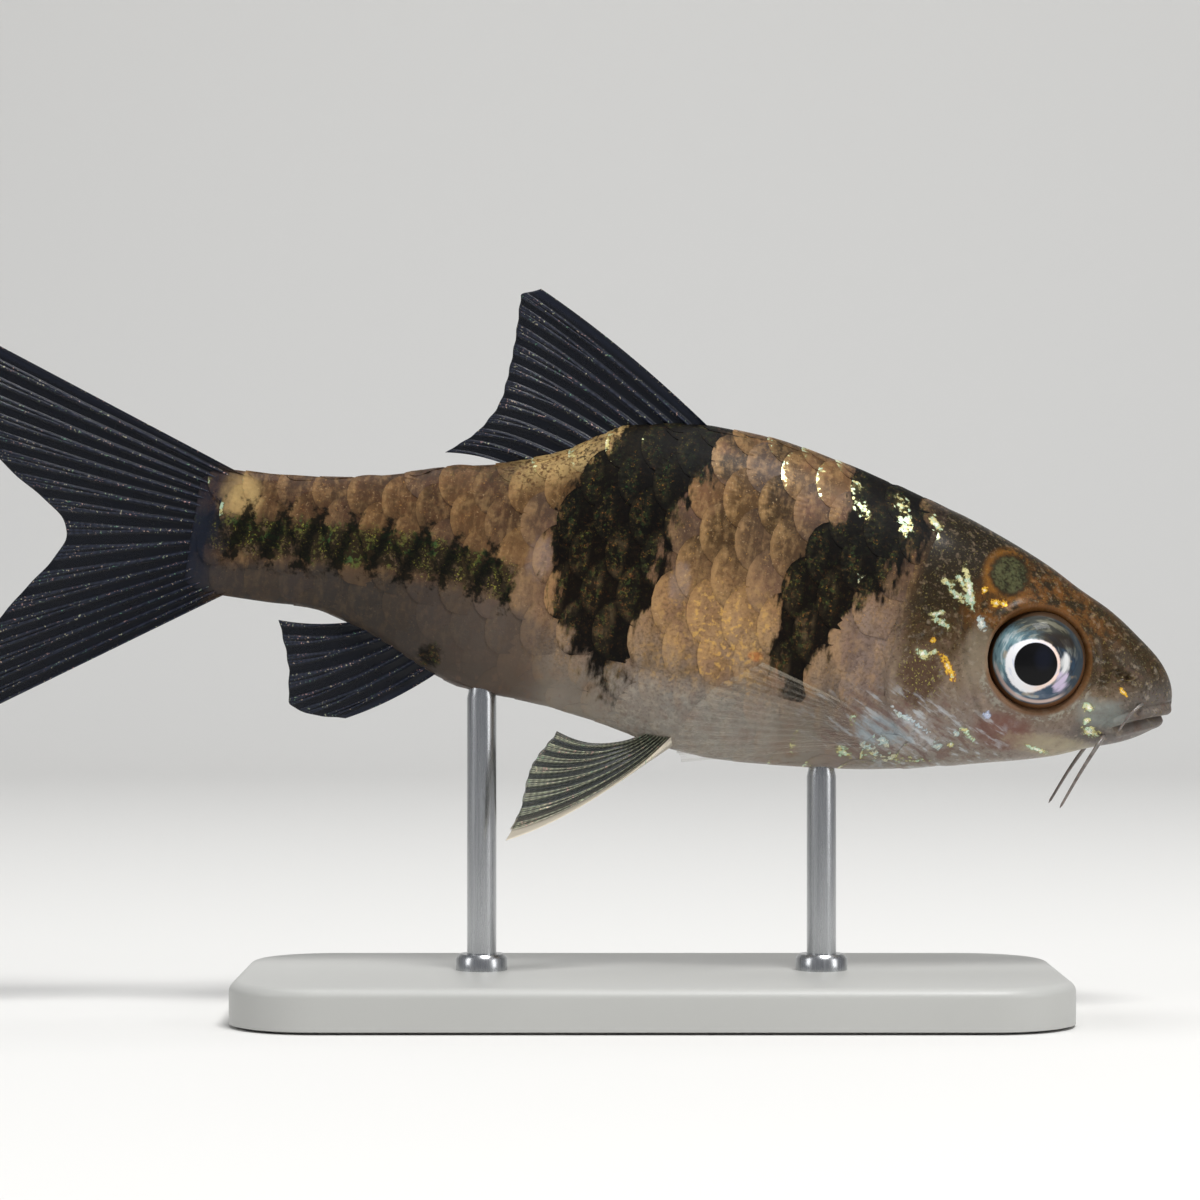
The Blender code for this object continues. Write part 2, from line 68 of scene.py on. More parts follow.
# Distance behind the snout, height of the back, level of the belly, half width
TRUNK = np.array([
    (0.0, -0.35, -0.35, 0.0), (1.3, 2.35, -2.6, 1.75), (2.8, 3.55, -3.5, 2.45),
    (5.2, 5.15, -4.4, 3.1), (7.4, 6.2, -5.3, 3.55), (9.6, 7.35, -5.95, 4.0),
    (11.8, 8.3, -6.5, 4.4), (13.9, 9.1, -7.05, 4.75), (16.8, 10.1, -7.8, 5.1),
    (19.8, 10.9, -8.35, 5.3), (25.1, 12.15, -9.0, 5.3),
    (30.4, 12.97, -9.35, 5.1), (33.7, 13.05, -9.1, 4.95), (36.3, 12.85, -8.6, 4.65),
    (39.6, 12.15, -8.0, 4.2), (43.6, 9.75, -7.6, 3.55), (47.5, 8.25, -7.45, 3.05),
    (50.8, 7.5, -6.45, 2.65), (55.1, 6.2, -4.6, 2.1), (59.4, 5.3, -3.76, 1.65),
    (61.7, 5.08, -3.89, 1.35), (66.0, 4.7, -3.95, 0.8), (67.6, 4.4, -3.7, 0.35),
])
TRUNK_END = TRUNK[-1, 0]
WIDEST_SHARE = 0.44  # of a section's height, from the belly up

# Lines of the head, as (s, z) points: s is the distance behind the snout, z the height
GILL_LINE = (
    (15.6, 9.0), (17.2, 5.4), (19.1, 2.2), (19.85, -1.2), (19.0, -4.4), (16.8, -6.2), (13.2, -7.3),
)
CHEEK_LINE = ((15.3, 4.0), (15.0, 0.8), (13.9, -1.9), (12.7, -4.1), (10.6, -5.3))
COVER_CREASE = ((18.9, -0.6), (17.6, -2.6), (15.9, -4.4))
MOUTH_LINE = ((-0.6, -1.2), (1.0, -1.62), (2.6, -2.2), (4.2, -2.95))
LIP_FOLD = ((-0.6, -0.1), (1.2, -0.75), (2.9, -1.35), (4.3, -2.3), (4.9, -3.3))
EYE_PLACE, EYE_RADIUS, EYE_DEPTH, EYE_INSET = (9.85, 0.98), 3.3, 1.9, 1.05
NOSTRILS = ((4.15, 0.95, 0.30), (3.55, 0.8, 0.2))  # place and radius
SCALE_COAT = 0.10  # how far the skin lies under the scales
COAT_START = 12.0  # no scales before this s

# Heights and depths of the relief, along the lines and round the eye, the lips and the nostrils
GILL_RIM, GILL_GROOVE, CHEEK_RIM, CHEEK_GROOVE, CREASE_DEPTH = 0.22, 0.14, 0.10, 0.13, 0.06
ORBIT_RIM, ORBIT_GROOVE, SOCKET_DEPTH = 0.12, 0.05, 1.9
LIP_SWELL, GAPE_DEPTH, FOLD_DEPTH, NOSTRIL_RIM, NOSTRIL_DEPTH = 0.17, 0.4, 0.11, 0.06, 0.4


def smooth(places, values, at):
    """Monotone cubic curve through the values: Hermite pieces whose slope at each point is the
    harmonic mean of the slopes beside it, or zero where these differ in sign."""
    places, values, at = (np.asarray(part, float) for part in (places, values, at))
    steps = np.diff(places)
    slopes = np.diff(values) / steps
    product = slopes[:-1] * slopes[1:]
    total = np.where(product > 0, slopes[:-1] + slopes[1:], 1.0)
    inner = np.where(product > 0, 2 * product / total, 0.0)
    tangents = np.concatenate([slopes[:1], inner, slopes[-1:]])
    i = np.clip(np.searchsorted(places, at) - 1, 0, len(steps) - 1)
    t = (at - places[i]) / steps[i]
    near = (1 + 2 * t) * (1 - t) ** 2 * values[i] + t * (1 - t) ** 2 * steps[i] * tangents[i]
    return near + t * t * (3 - 2 * t) * values[i + 1] - t * t * (1 - t) * steps[i] * tangents[i + 1]


def along(points, u):
    """Points at the shares u of the smooth curve through the given points, by chord length."""
    points = np.asarray(points, float)
    run = np.concatenate([[0], np.cumsum(np.linalg.norm(np.diff(points, axis=0), axis=1))])
    return np.stack([smooth(run, column, np.asarray(u) * run[-1]) for column in points.T], axis=-1)


def trunk_sizes(s):
    """Back, belly, half width and widest level at s, smooth in the root of s, so the nose is round."""
    root, at = np.sqrt(TRUNK[:, 0]), np.sqrt(np.clip(s, 0, None))
    back, belly, breadth = (smooth(root, TRUNK[:, column], at) for column in (1, 2, 3))
    return back, belly, breadth, belly + (back - belly) * WIDEST_SHARE


def trunk_point(s, angle):
    """A section is two half ellipses that meet at the widest level. The angle starts at the back."""
    back, belly, breadth, level = trunk_sizes(s)
    rise = np.where(np.cos(angle) > 0, back - level, level - belly)
    y, z = breadth * np.sin(angle), level + rise * np.cos(angle)
    return np.stack(np.broadcast_arrays(s, y, z), axis=-1)


def half_breadth(s, z):
    """Half the trunk's width at s and the height z, from the ellipse that z lies on."""
    back, belly, breadth, level = trunk_sizes(s)
    rise = np.where(z > level, back - level, level - belly)
    return breadth * np.sqrt(np.clip(1 - ((z - level) / rise) ** 2, 0, 1))


def tipped(points):
    """Level fish places (s, y, z) in mm to the model's frame in metres, before its shift."""
    x, y, z = BODY_LENGTH / 2 - points[..., 0], points[..., 1], points[..., 2]
    cos, sin = math.cos(NOSE_DOWN), math.sin(NOSE_DOWN)
    return np.stack([x * cos + z * sin, y, z * cos - x * sin], axis=-1) * MM


# The shift sets the middle of the plain trunk's box on the middle of its solids' box
plain = tipped(trunk_point(
    np.linspace(0, TRUNK_END, 400)[:, None], np.linspace(0, 2 * math.pi, 241)[None]))
trunk_boxes = np.array([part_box(node) for node in ("head", "torso", "tail")])
cad_middle = (trunk_boxes[:, 0].min(axis=0) + trunk_boxes[:, 1].max(axis=0)) / 2
SHIFT = cad_middle - (plain.min(axis=(0, 1)) + plain.max(axis=(0, 1))) / 2
SHIFT[1] = 0.0


def in_model(points):
    """Level fish places in mm to the model's frame in metres."""
    return tipped(np.asarray(points, float)) + SHIFT


def normals_of(grid):
    """Unit normals of a grid of points: the cross product of its two slopes."""
    normal = np.cross(np.gradient(grid, axis=0), np.gradient(grid, axis=1))
    return normal / np.maximum(np.linalg.norm(normal, axis=-1, keepdims=True), 1e-12)


def soft_step(low, high, value):
    """0 at low, 1 at high, and 3tt - 2ttt between them. Low may be the larger."""
    t = np.clip((value - low) / (high - low), 0, 1)
    return t * t * (3 - 2 * t)


def bump(distance, width):
    """A bell of 1 at no distance: e to the power of minus the square of distance over width."""
    return np.exp(-((distance / width) ** 2))


def beside(line, s, z):
    """Signed distance to a smooth line of (s, z) points, and the share of its length at the
    nearest point. Left of the line's direction is negative."""
    course = along(line, np.linspace(0, 1, 60))
    start, step = course[:-1], np.diff(course, axis=0)
    reach = np.stack([s, z], axis=-1)[..., None, :] - start
    share = np.clip((reach * step).sum(-1) / (step**2).sum(-1), 0, 1)
    off = reach - share[..., None] * step
    distance = np.linalg.norm(off, axis=-1)
    nearest = distance.argmin(axis=-1)[..., None]
    side = step[:, 0] * off[..., 1] - step[:, 1] * off[..., 0]
    turn = np.sign(np.take_along_axis(side, nearest, -1))
    place = (nearest + np.take_along_axis(share, nearest, -1)) / len(step)
    return (np.take_along_axis(distance, nearest, -1) * turn)[..., 0], place[..., 0]


def ends_fade(share, width=0.08):
    """1 along a line, falling to 0 over the given share of it at both ends."""
    return soft_step(0, width, share) * soft_step(0, width, 1 - share)


def relief(s, z):
    """How far the skin stands off the plain trunk, in mm: a sum of rims and grooves, each a bell
    of the distance to its line or ring, and of steps down under the scales and into the sockets."""
    off = np.zeros_like(s)
    behind, share = beside(GILL_LINE, s, z)
    slit = soft_step(0.2, 0.42, share) * soft_step(0.0, 0.3, 1 - share)
    passed = soft_step(-0.08, 0.08, behind)
    off += slit * GILL_RIM * bump(np.minimum(behind, 0), 1.6) * (1 - passed)
    off -= slit * GILL_GROOVE * bump(np.maximum(behind, 0), 0.8) * passed
    nape_fade = 2.4 * soft_step(0.42, 0.2, share)  # the step is gentler over the gill opening
    off -= SCALE_COAT * soft_step(0.1, 0.6 + nape_fade, behind) * (s > COAT_START)
    cheek, share = beside(CHEEK_LINE, s, z)
    off += ends_fade(share) * (CHEEK_RIM * bump(cheek + 0.4, 0.35) - CHEEK_GROOVE * bump(cheek - 0.02, 0.16))
    crease, share = beside(COVER_CREASE, s, z)
    off -= ends_fade(share) * CREASE_DEPTH * bump(crease, 0.12)
    eye = np.hypot(s - EYE_PLACE[0], z - EYE_PLACE[1])
    off += ORBIT_RIM * bump(eye - 3.75, 0.3) - ORBIT_GROOVE * bump(eye - 4.5, 0.25)
    off -= SOCKET_DEPTH * (1 - soft_step(3.05, 3.5, eye))
    mouth, share = beside(MOUTH_LINE, s, z)
    lips = LIP_SWELL * bump(mouth - 0.42, 0.26) + LIP_SWELL * bump(mouth + 0.4, 0.26)
    off += soft_step(0, 0.12, 1 - share) * (lips - GAPE_DEPTH * bump(mouth, 0.11))
    fold, share = beside(LIP_FOLD, s, z)
    off -= ends_fade(share, 0.12) * FOLD_DEPTH * bump(fold, 0.14)
    for nostril_s, nostril_z, radius in NOSTRILS:
        ring = np.hypot(s - nostril_s, z - nostril_z)
        off += NOSTRIL_RIM * bump(ring - 1.6 * radius, 0.5 * radius) - NOSTRIL_DEPTH * bump(ring, radius)
    return off


def grid_faces(cell):
    """The four corners of each cell of a grid of point numbers."""
    return np.stack([cell[:-1, :-1], cell[1:, :-1], cell[1:, 1:], cell[:-1, 1:]], axis=-1).reshape(-1, 4)


def ball_faces(rings, around):
    """Faces of rings that close on themselves, and a fan to a pole at each end. The points are
    numbered ring by ring, and the two poles come last."""
    cell = np.arange(rings * around).reshape(rings, around)
    beyond = np.roll(cell, -1, axis=1)
    fans = np.concatenate([
        np.stack([beyond[0], np.full(around, cell.size), cell[0]], axis=-1),
        np.stack([cell[-1], np.full(around, cell.size + 1), beyond[-1]], axis=-1),
    ])
    return grid_faces(np.concatenate([cell, cell[:, :1]], axis=1)), fans


def sew(name, points, faces, uv=None, **marks):
    """A smooth mesh from points in metres and arrays of corner numbers, one array for each count
    of corners. Its faces are turned out if the volume they enclose is negative. uv has the same
    arrays with a place on the map for each corner, and marks are vectors kept for the finish."""
    faces = [np.asarray(part) for part in faces]
    fans = [part[:, [0, i, i + 1]] for part in faces for i in range(1, part.shape[1] - 1)]
    corner = points[np.concatenate(fans)]
    if np.einsum("ij,ij->i", corner[:, 0], np.cross(corner[:, 1], corner[:, 2])).sum() < 0:
        faces = [part[:, ::-1] for part in faces]
        uv = uv and [part[:, ::-1] for part in uv]
    mesh = bpy.data.meshes.new(name)
    counts = np.concatenate([np.full(len(part), part.shape[1]) for part in faces])
    corners = np.concatenate([part.ravel() for part in faces])
    mesh.vertices.add(len(points))
    mesh.vertices.foreach_set("co", points.astype(np.float32).ravel())
    mesh.loops.add(len(corners))
    mesh.loops.foreach_set("vertex_index", corners.astype(np.int32))
    mesh.polygons.add(len(counts))
    mesh.polygons.foreach_set("loop_start", (np.cumsum(counts) - counts).astype(np.int32))
    mesh.polygons.foreach_set("loop_total", counts.astype(np.int32))
    mesh.update(calc_edges=True)
    mesh.shade_smooth()
    if uv:
        spread = np.concatenate([part.reshape(-1, 2) for part in uv])
        mesh.uv_layers.new(name="OFBake").data.foreach_set("uv", spread.astype(np.float32).ravel())
    for key, values in marks.items():
        layer = mesh.attributes.new(key, "FLOAT_VECTOR", "POINT")
        layer.data.foreach_set("vector", values.astype(np.float32).ravel())
    made = bpy.data.objects.new(name, mesh)
    bpy.context.scene.collection.objects.link(made)
    return made


# The marks of the fish, in the level frame: two dark bars, each between a front and a rear edge of
# (s, z) points and over a foot, the middle line of the tail's stripe, and two dots
BAR_EDGES = (
    (((25.9, -5.5), (24.9, -3.6), (23.4, 0.1), (21.4, 3.1), (19.7, 6.1), (18.3, 9.0), (18.0, 13.0)),
     ((26.5, -5.0), (27.7, -1.4), (27.8, 1.4), (27.3, 4.6), (26.0, 7.2), (24.0, 8.6), (24.1, 13.0)), -6.6),
    (((37.1, -5.7), (36.3, -2.1), (35.8, 0.7), (35.6, 3.5), (34.5, 7.1), (33.2, 10.1), (33.0, 13.5)),
     ((39.6, -5.4), (41.3, -3.0), (42.8, 0.2), (43.5, 3.6), (43.4, 6.0), (41.3, 9.6), (38.6, 13.5)), -6.9),
)
STRIPE = ((45.0, 0.2), (49.0, 1.0), (52.5, 1.25), (57.0, 1.05), (61.0, 0.85), (67.0, 0.4))
SCALE_PITCH = 2.4  # between scales along a row
DOTS = ((50.2, -5.5, 1.05), (12.6, 6.3, 1.5))  # over the anal fin, and behind the eye
NO_MARK = -9.0  # well outside every mark


def marks_at(s, z):
    """Distance inside the bars, height over the stripe, and distance inside the dots, in mm."""
    bars = np.full_like(s, NO_MARK)
    for front, rear, foot in BAR_EDGES:
        front_s, rear_s = (smooth(*np.transpose(edge)[::-1], z) for edge in (front, rear))
        bars = np.maximum(bars, np.minimum(np.minimum(s - front_s, rear_s - s), (z - foot) * 1.5))
    over_stripe = z - smooth(*np.transpose(STRIPE), s)
    dots = np.maximum(*(radius - np.hypot(s - x, z - y) for x, y, radius in DOTS))
    return np.stack([bars, over_stripe, dots], axis=-1)


# Shining flecks on head, nape and throat: silvery and golden foil in the skin, painted as bright as the
# glints of light on it, so partly painted highlight. s, z, length, width, turn in degrees, and warmth from
# blue at -1 to gold at 1
GLINT_FLECKS = (
    (15.25, 4.95, 1.3, 0.22, 73, 0.1), (15.05, 4.3, 0.5, 0.3, 80, 0.1), (16.6, 5.1, 0.45, 0.18, 10, 0.2),
    (16.1, 4.4, 0.6, 0.2, 35, 0.2), (15.8, 5.3, 0.5, 0.18, 50, 0.2), (14.05, 2.75, 0.4, 0.26, 60, -0.3),
    (16.75, 2.4, 0.6, 0.18, 15, 0.2), (17.2, 2.9, 0.45, 0.15, 160, 0.2), (16.3, 2.2, 0.3, 0.18, 60, 0.1),
    (17.65, 0.05, 0.4, 0.24, 35, 0.25), (16.9, 0.35, 0.22, 0.18, 0, 0.4),
    (17.15, 1.12, 0.16, 0.16, 90, 1.0), (15.75, -0.6, 0.85, 0.22, 53, 1.0),
    (15.5, -0.95, 0.35, 0.15, 53, 0.3), (13.3, 4.25, 0.32, 0.28, 0, 1.0), (12.75, 4.35, 0.22, 0.2, 0, 1.0),
    (14.2, 5.0, 0.2, 0.22, 0, 1.0), (23.5, 10.2, 0.4, 0.26, 60, 0.3), (23.1, 9.1, 0.5, 0.22, 30, 0.35),
    (20.4, 9.7, 0.5, 0.2, 75, 0.4), (20.1, 8.5, 0.5, 0.27, 110, 0.3), (19.0, 7.4, 0.3, 0.18, 60, 0.1),
    (17.95, 8.9, 0.4, 0.24, 60, 0.4), (17.9, 8.05, 0.4, 0.2, 110, 0.3), (22.0, 4.1, 0.35, 0.2, 130, -0.2),
    (20.1, 3.9, 0.26, 0.16, 150, 0.0), (21.5, -5.0, 0.18, 0.18, 0, 0.1), (21.4, -3.9, 0.35, 0.12, 40, -0.3),
    (20.1, -5.25, 0.4, 0.13, 150, -0.4), (17.7, -4.35, 1.6, 0.09, 26, -0.35),
    (18.4, -4.1, 0.4, 0.12, 26, -0.3), (19.3, -6.1, 0.4, 0.34, 0, -0.3), (20.4, -7.35, 0.22, 0.17, 0, -0.2),
    (17.5, -7.0, 0.24, 0.17, 0, -0.2), (16.5, -7.15, 0.4, 0.2, 170, 0.2), (20.2, -6.75, 0.3, 0.2, 60, -0.3),
    (18.5, -7.05, 0.35, 0.2, 20, -0.25), (21.6, -7.4, 0.35, 0.22, 10, 0.2),
    (19.5, -7.45, 0.3, 0.22, 0, -0.25), (15.5, -5.8, 0.32, 0.25, 0, -0.3),
    (14.4, -4.8, 0.19, 0.17, 0, -0.3), (14.6, -5.6, 0.19, 0.17, 0, 0.1), (13.65, -4.7, 0.75, 0.12, 40, 0.1),
    (12.6, -3.2, 0.28, 0.18, 0, -0.5), (5.9, -1.6, 0.34, 0.28, 30, -0.1), (5.8, -2.5, 0.22, 0.2, 0, -0.1),
    (5.4, -3.2, 0.6, 0.28, 15, 0.15), (8.65, -5.0, 0.8, 0.12, 12, 0.1), (3.75, -0.2, 0.36, 0.1, 40, 0.9),
)


def glint_flecks_at(s, z):
    """Brightness and warmth of the flecks, the brightness partly painted glint, each a turned, stretched
    bell.
    """
    bright, warm = np.zeros_like(s), np.zeros_like(s)
    for fleck_s, fleck_z, length, width, turn, warmth in GLINT_FLECKS:
        cos, sin = math.cos(math.radians(turn)), math.sin(math.radians(turn))
        off_s, off_z = s - fleck_s, z - fleck_z
        lengthwise, across = off_s * cos + off_z * sin, off_z * cos - off_s * sin
        bell = np.exp(-((lengthwise / length) ** 2) - (across / width) ** 2)
        warm = np.where(bell > bright, warmth, warm)
        bright = np.maximum(bright, bell)
    return bright, warm


skin_rings, skin_around = 418, 228
share = (np.arange(1, skin_rings + 1) / skin_rings)[:, None]
s_rings = TRUNK_END * share**1.4  # closer together on the head
turn = (np.arange(skin_around) / skin_around * 2 * math.pi)[None]
angles = turn + 0.2 * np.sin(2 * turn)  # closer together on the flanks
body = trunk_point(s_rings, angles)
outward = normals_of(np.concatenate([body[:, -1:], body, body[:, :1]], axis=1))[:, 1:-1]
outward *= np.sign((outward * (body - body.mean(axis=1, keepdims=True))).sum(-1, keepdims=True))
s_flat, z_flat = body[..., 0], body[..., 2]
body = body + outward * relief(s_flat, z_flat)[..., None]
# The flecks, bright as their painted glints, and their warmth
flecks, warmth = glint_flecks_at(s_flat, z_flat)
quads, caps = ball_faces(skin_rings, skin_around)
nose_and_rump = np.array([(-0.02, 0.0, TRUNK[0, 1]), (TRUNK_END + 0.02, 0.0, 0.35)])
# The unwrap is a plain sheet: once round across it, and from the nose down it
ring_v = np.broadcast_to(0.02 + 0.96 * share, s_flat.shape)
turn_u = np.broadcast_to(np.arange(skin_around) / skin_around, s_flat.shape)
wide = 1 / skin_around
near_uv = np.stack([turn_u, ring_v], axis=-1)
far_uv = near_uv + [wide, 0]
quads_uv = np.stack([near_uv[:-1], near_uv[1:], far_uv[1:], far_uv[:-1]], axis=2).reshape(-1, 4, 2)
caps_uv = np.concatenate([
    np.stack([far_uv[0], near_uv[0] * [1, 0] + [wide / 2, 0.01], near_uv[0]], axis=1),
    np.stack([near_uv[-1], near_uv[-1] * [1, 0] + [wide / 2, 0.99], far_uv[-1]], axis=1),
])


def with_ends(grid, ends):
    """The points of a grid, row by row, and then those of its two ends."""
    return np.concatenate([grid.reshape(-1, *grid.shape[2:]), ends])


flat_places = np.stack([s_flat, body[..., 1], z_flat], axis=-1)
skin = sew(
    "skin", in_model(with_ends(body, nose_and_rump)), [quads, caps], [quads_uv, caps_uv],
    place=with_ends(flat_places, nose_and_rump),
    marks=with_ends(marks_at(s_flat, z_flat), np.full((2, 3), NO_MARK)),
    shine=with_ends(np.stack([flecks, warmth, 0 * flecks], axis=-1), np.zeros((2, 3))),
)


class Wire:
    """A value on its way through a material. Sums on it add Math nodes, and node adds any other."""

    def __init__(self, tree, socket=None):
        self.tree, self.socket = tree, socket

    def node(self, kind, settings=None, inputs=None, out=0):
        """Adds a node, with wires or numbers on its inputs, and gives one of its outputs."""
        added = self.tree.nodes.new(kind)
        for key, value in (settings or {}).items():
            if key == "stops":
                ramp = added.color_ramp
                while len(ramp.elements) < len(value):
                    ramp.elements.new(0.5)
                for element, (position, colour) in zip(ramp.elements, value):
                    element.position = position
                    element.color = (*colour, 1)
            else:
                setattr(added, key, value)
        for key, value in (inputs or {}).items():
            if isinstance(value, Wire):
                self.tree.links.new(value.socket, added.inputs[key])
            else:
                added.inputs[key].default_value = value
        return Wire(self.tree, added.outputs[out])

    def sum(self, operation, *values):
        """Adds a Math node of the given kind on the given values."""
        return self.node("ShaderNodeMath", {"operation": operation}, dict(enumerate(values)))

    def most(self, other):
        """The larger of two values."""
        return self.sum("MAXIMUM", self, other)

    def step(self, low, high):
        """0 below low, 1 above high, smooth between them. Low may be the larger."""
        return self.node("ShaderNodeMapRange", {"interpolation_type": "SMOOTHSTEP"},
                         {0: self, 1: low, 2: high, 3: 0.0, 4: 1.0})

    def mix(self, first, second):
        """The first colour where this value is 0, the second where it is 1."""
        low, high = (tone if isinstance(tone, Wire) else (*tone, 1) for tone in (first, second))
        return self.node("ShaderNodeMix", {"data_type": "RGBA"}, {0: self, 6: low, 7: high}, 2)

    def ramp(self, *stops):
        """A colour from stops of this value, each with its screen colour."""
        stops = [(at, paint(*tone)) for at, tone in stops]
        return self.node("ShaderNodeValToRGB", {"stops": stops}, {0: self})

    def vector(self, x, y, z):
        """A place of its own, for clouds that are stretched or turned."""
        return self.node("ShaderNodeCombineXYZ", None, {0: x, 1: y, 2: z})

    def parts(self):
        """The three parts of a vector or a colour."""
        split = self.node("ShaderNodeSeparateXYZ", None, {0: self}).socket.node
        return [Wire(self.tree, output) for output in split.outputs]


# The signs +, -, * and / between wires and numbers, each a Math node
for sign, kind in (("add", "ADD"), ("sub", "SUBTRACT"), ("mul", "MULTIPLY"), ("truediv", "DIVIDE")):
    setattr(Wire, f"__{sign}__", lambda self, other, kind=kind: self.sum(kind, self, other))
    setattr(Wire, f"__r{sign}__", lambda self, other, kind=kind: self.sum(kind, other, self))


def paint(red, green, blue):
    """A colour as a screen shows it, 0 to 255, to the linear values a material holds: a straight
    line near black, and a power of 2.4 above it."""
    shares = [part / 255 for part in (red, green, blue)]
    return tuple(c / 12.92 if c < 0.0404 else ((c + 0.055) / 1.055) ** 2.4 for c in shares)


def length(first, second):
    """The length of a step whose two parts are given: the root of the sum of their squares."""
    square = first * first + second * second
    return square.sum("SQRT", square)


def bumpy(wire, strength, depth, height):
    """A normal that leans as a surface raised by height times depth, in metres, would."""
    return wire.node("ShaderNodeBump", None, {"Strength": strength, "Distance": depth, "Height": height})


def layered(ground, *coats):
    """The ground colour under coats laid over it in turn, each a weight and a screen colour or a
    colour that varies."""
    for weight, tone in coats:
        ground = weight.mix(ground, tone if isinstance(tone, Wire) else paint(*tone))
    return ground


def new_finish(name):
    """An empty material with one Principled shader, as (material, wire, shader node)."""
    made = bpy.data.materials.new(name)
    made.use_nodes = True
    shader = made.node_tree.nodes["Principled BSDF"]
    return made, Wire(made.node_tree), shader


def feed(wire, shader, **values):
    """Links wires, or sets numbers, on the shader's sockets. An underscore stands for a space."""
    for key, value in values.items():
        socket = shader.inputs[key.replace("_", " ")]
        if isinstance(value, Wire):
            wire.tree.links.new(value.socket, socket)
        else:
            socket.default_value = value


def read(wire, name):
    """A vector that a mesh keeps at its points."""
    return wire.node("ShaderNodeAttribute", {"attribute_name": name}, None, 1)


def noise(wire, where, size, detail=3.0, rough=0.55):
    """A cloud of values from 0 to 1, with grains of the given size in the unit of where."""
    return wire.node("ShaderNodeTexNoise", None,
                     {"Vector": where, "Scale": 1 / size, "Detail": detail, "Roughness": rough})


def cell_chances(wire, where, size):
    """Two chances from 0 to 1 that are each the same all over one of many scattered cells."""
    return wire.node("ShaderNodeTexVoronoi", None, {"Vector": where, "Scale": 1 / size}, 1).parts()[:2]


def round_patch(s, z, middle, size, rough):
    """1 inside an ellipse of (half length, half height) about middle. Rough frays its edge."""
    off_s, off_z = (s - middle[0]) / size[0], (z - middle[1]) / size[1]
    return (off_s * off_s + off_z * off_z + rough).step(1.5, 0.2)


# Patches of colour on the fish: the middle, and half the length and height
PATCHES = {
    "rust": ((28.6, -1.9), (0.5, 0.35)),
    "rust_before": ((26.9, -2.3), (0.4, 0.45)),
    "lavender": ((34.4, 2.0), (0.7, 1.5)),
    "lavender_behind": ((43.9, 2.2), (0.9, 1.5)),
    "cream_at_tail": ((64.7, 3.0), (1.5, 1.5)),
    "pearly_cover": ((18.6, -5.4), (3.4, 1.5)),
    "blush": ((11.3, -4.1), (2.1, 1.35)),
    "gill_shade": ((17.6, -1.4), (1.5, 2.1)),
    # The next patch is a painted reflection of light on the lips
    "lip_reflection": ((5.0, -1.9), (1.9, 1.1)),
    "creamy_jaw": ((7.4, -4.6), (3.6, 0.8)),
    "cheek": ((14.0, 0.6), (1.0, 2.2)),
    "throat": ((17.6, -5.2), (7.0, 2.8)),
    "throat_sheen": ((19.4, -5.4), (2.0, 1.0)),
}


def fish_clouds(wire):
    """What every colour of the fish is made from: the places and marks kept on the mesh, clouds
    of several sizes, and two regions of the flank."""
    at = SimpleNamespace(wire=wire, place=read(wire, "place"))
    at.s, at.y, at.z = at.place.parts()
    at.bars, at.over_stripe, at.dots = read(wire, "marks").parts()
    at.bright, at.warm, at.prominence = read(wire, "shine").parts()
    at.broad, at.mottle, at.chips = (noise(wire, at.place, size) for size in (4.0, 0.9, 0.42))
    at.grain = noise(wire, at.place, 0.2, 2.0)
    at.streaks = noise(wire, wire.vector(at.s, at.y * 0.5, at.z * 0.35), 0.4)
    at.speck = noise(wire, at.place, 0.14, 2.0).step(0.58, 0.68)
    at.speck_hue = noise(wire, at.place, 0.36, 1.0)
    mid_flank = at.z.step(-5.8, -2.8) * at.z.step(4.0, 0.0)
    at.golden = at.s.step(25.0, 29.0) * at.s.step(38.0, 33.5) * mid_flank
    at.grey_tail = at.s.step(41.5, 45.0) * (at.over_stripe + (at.broad - 0.5) * 2.0).step(-1.2, -2.4)
    return at


def patch(at, key, rough):
    """The round patch of the table, with rough for its edge."""
    return round_patch(at.s, at.z, *PATCHES[key], rough)


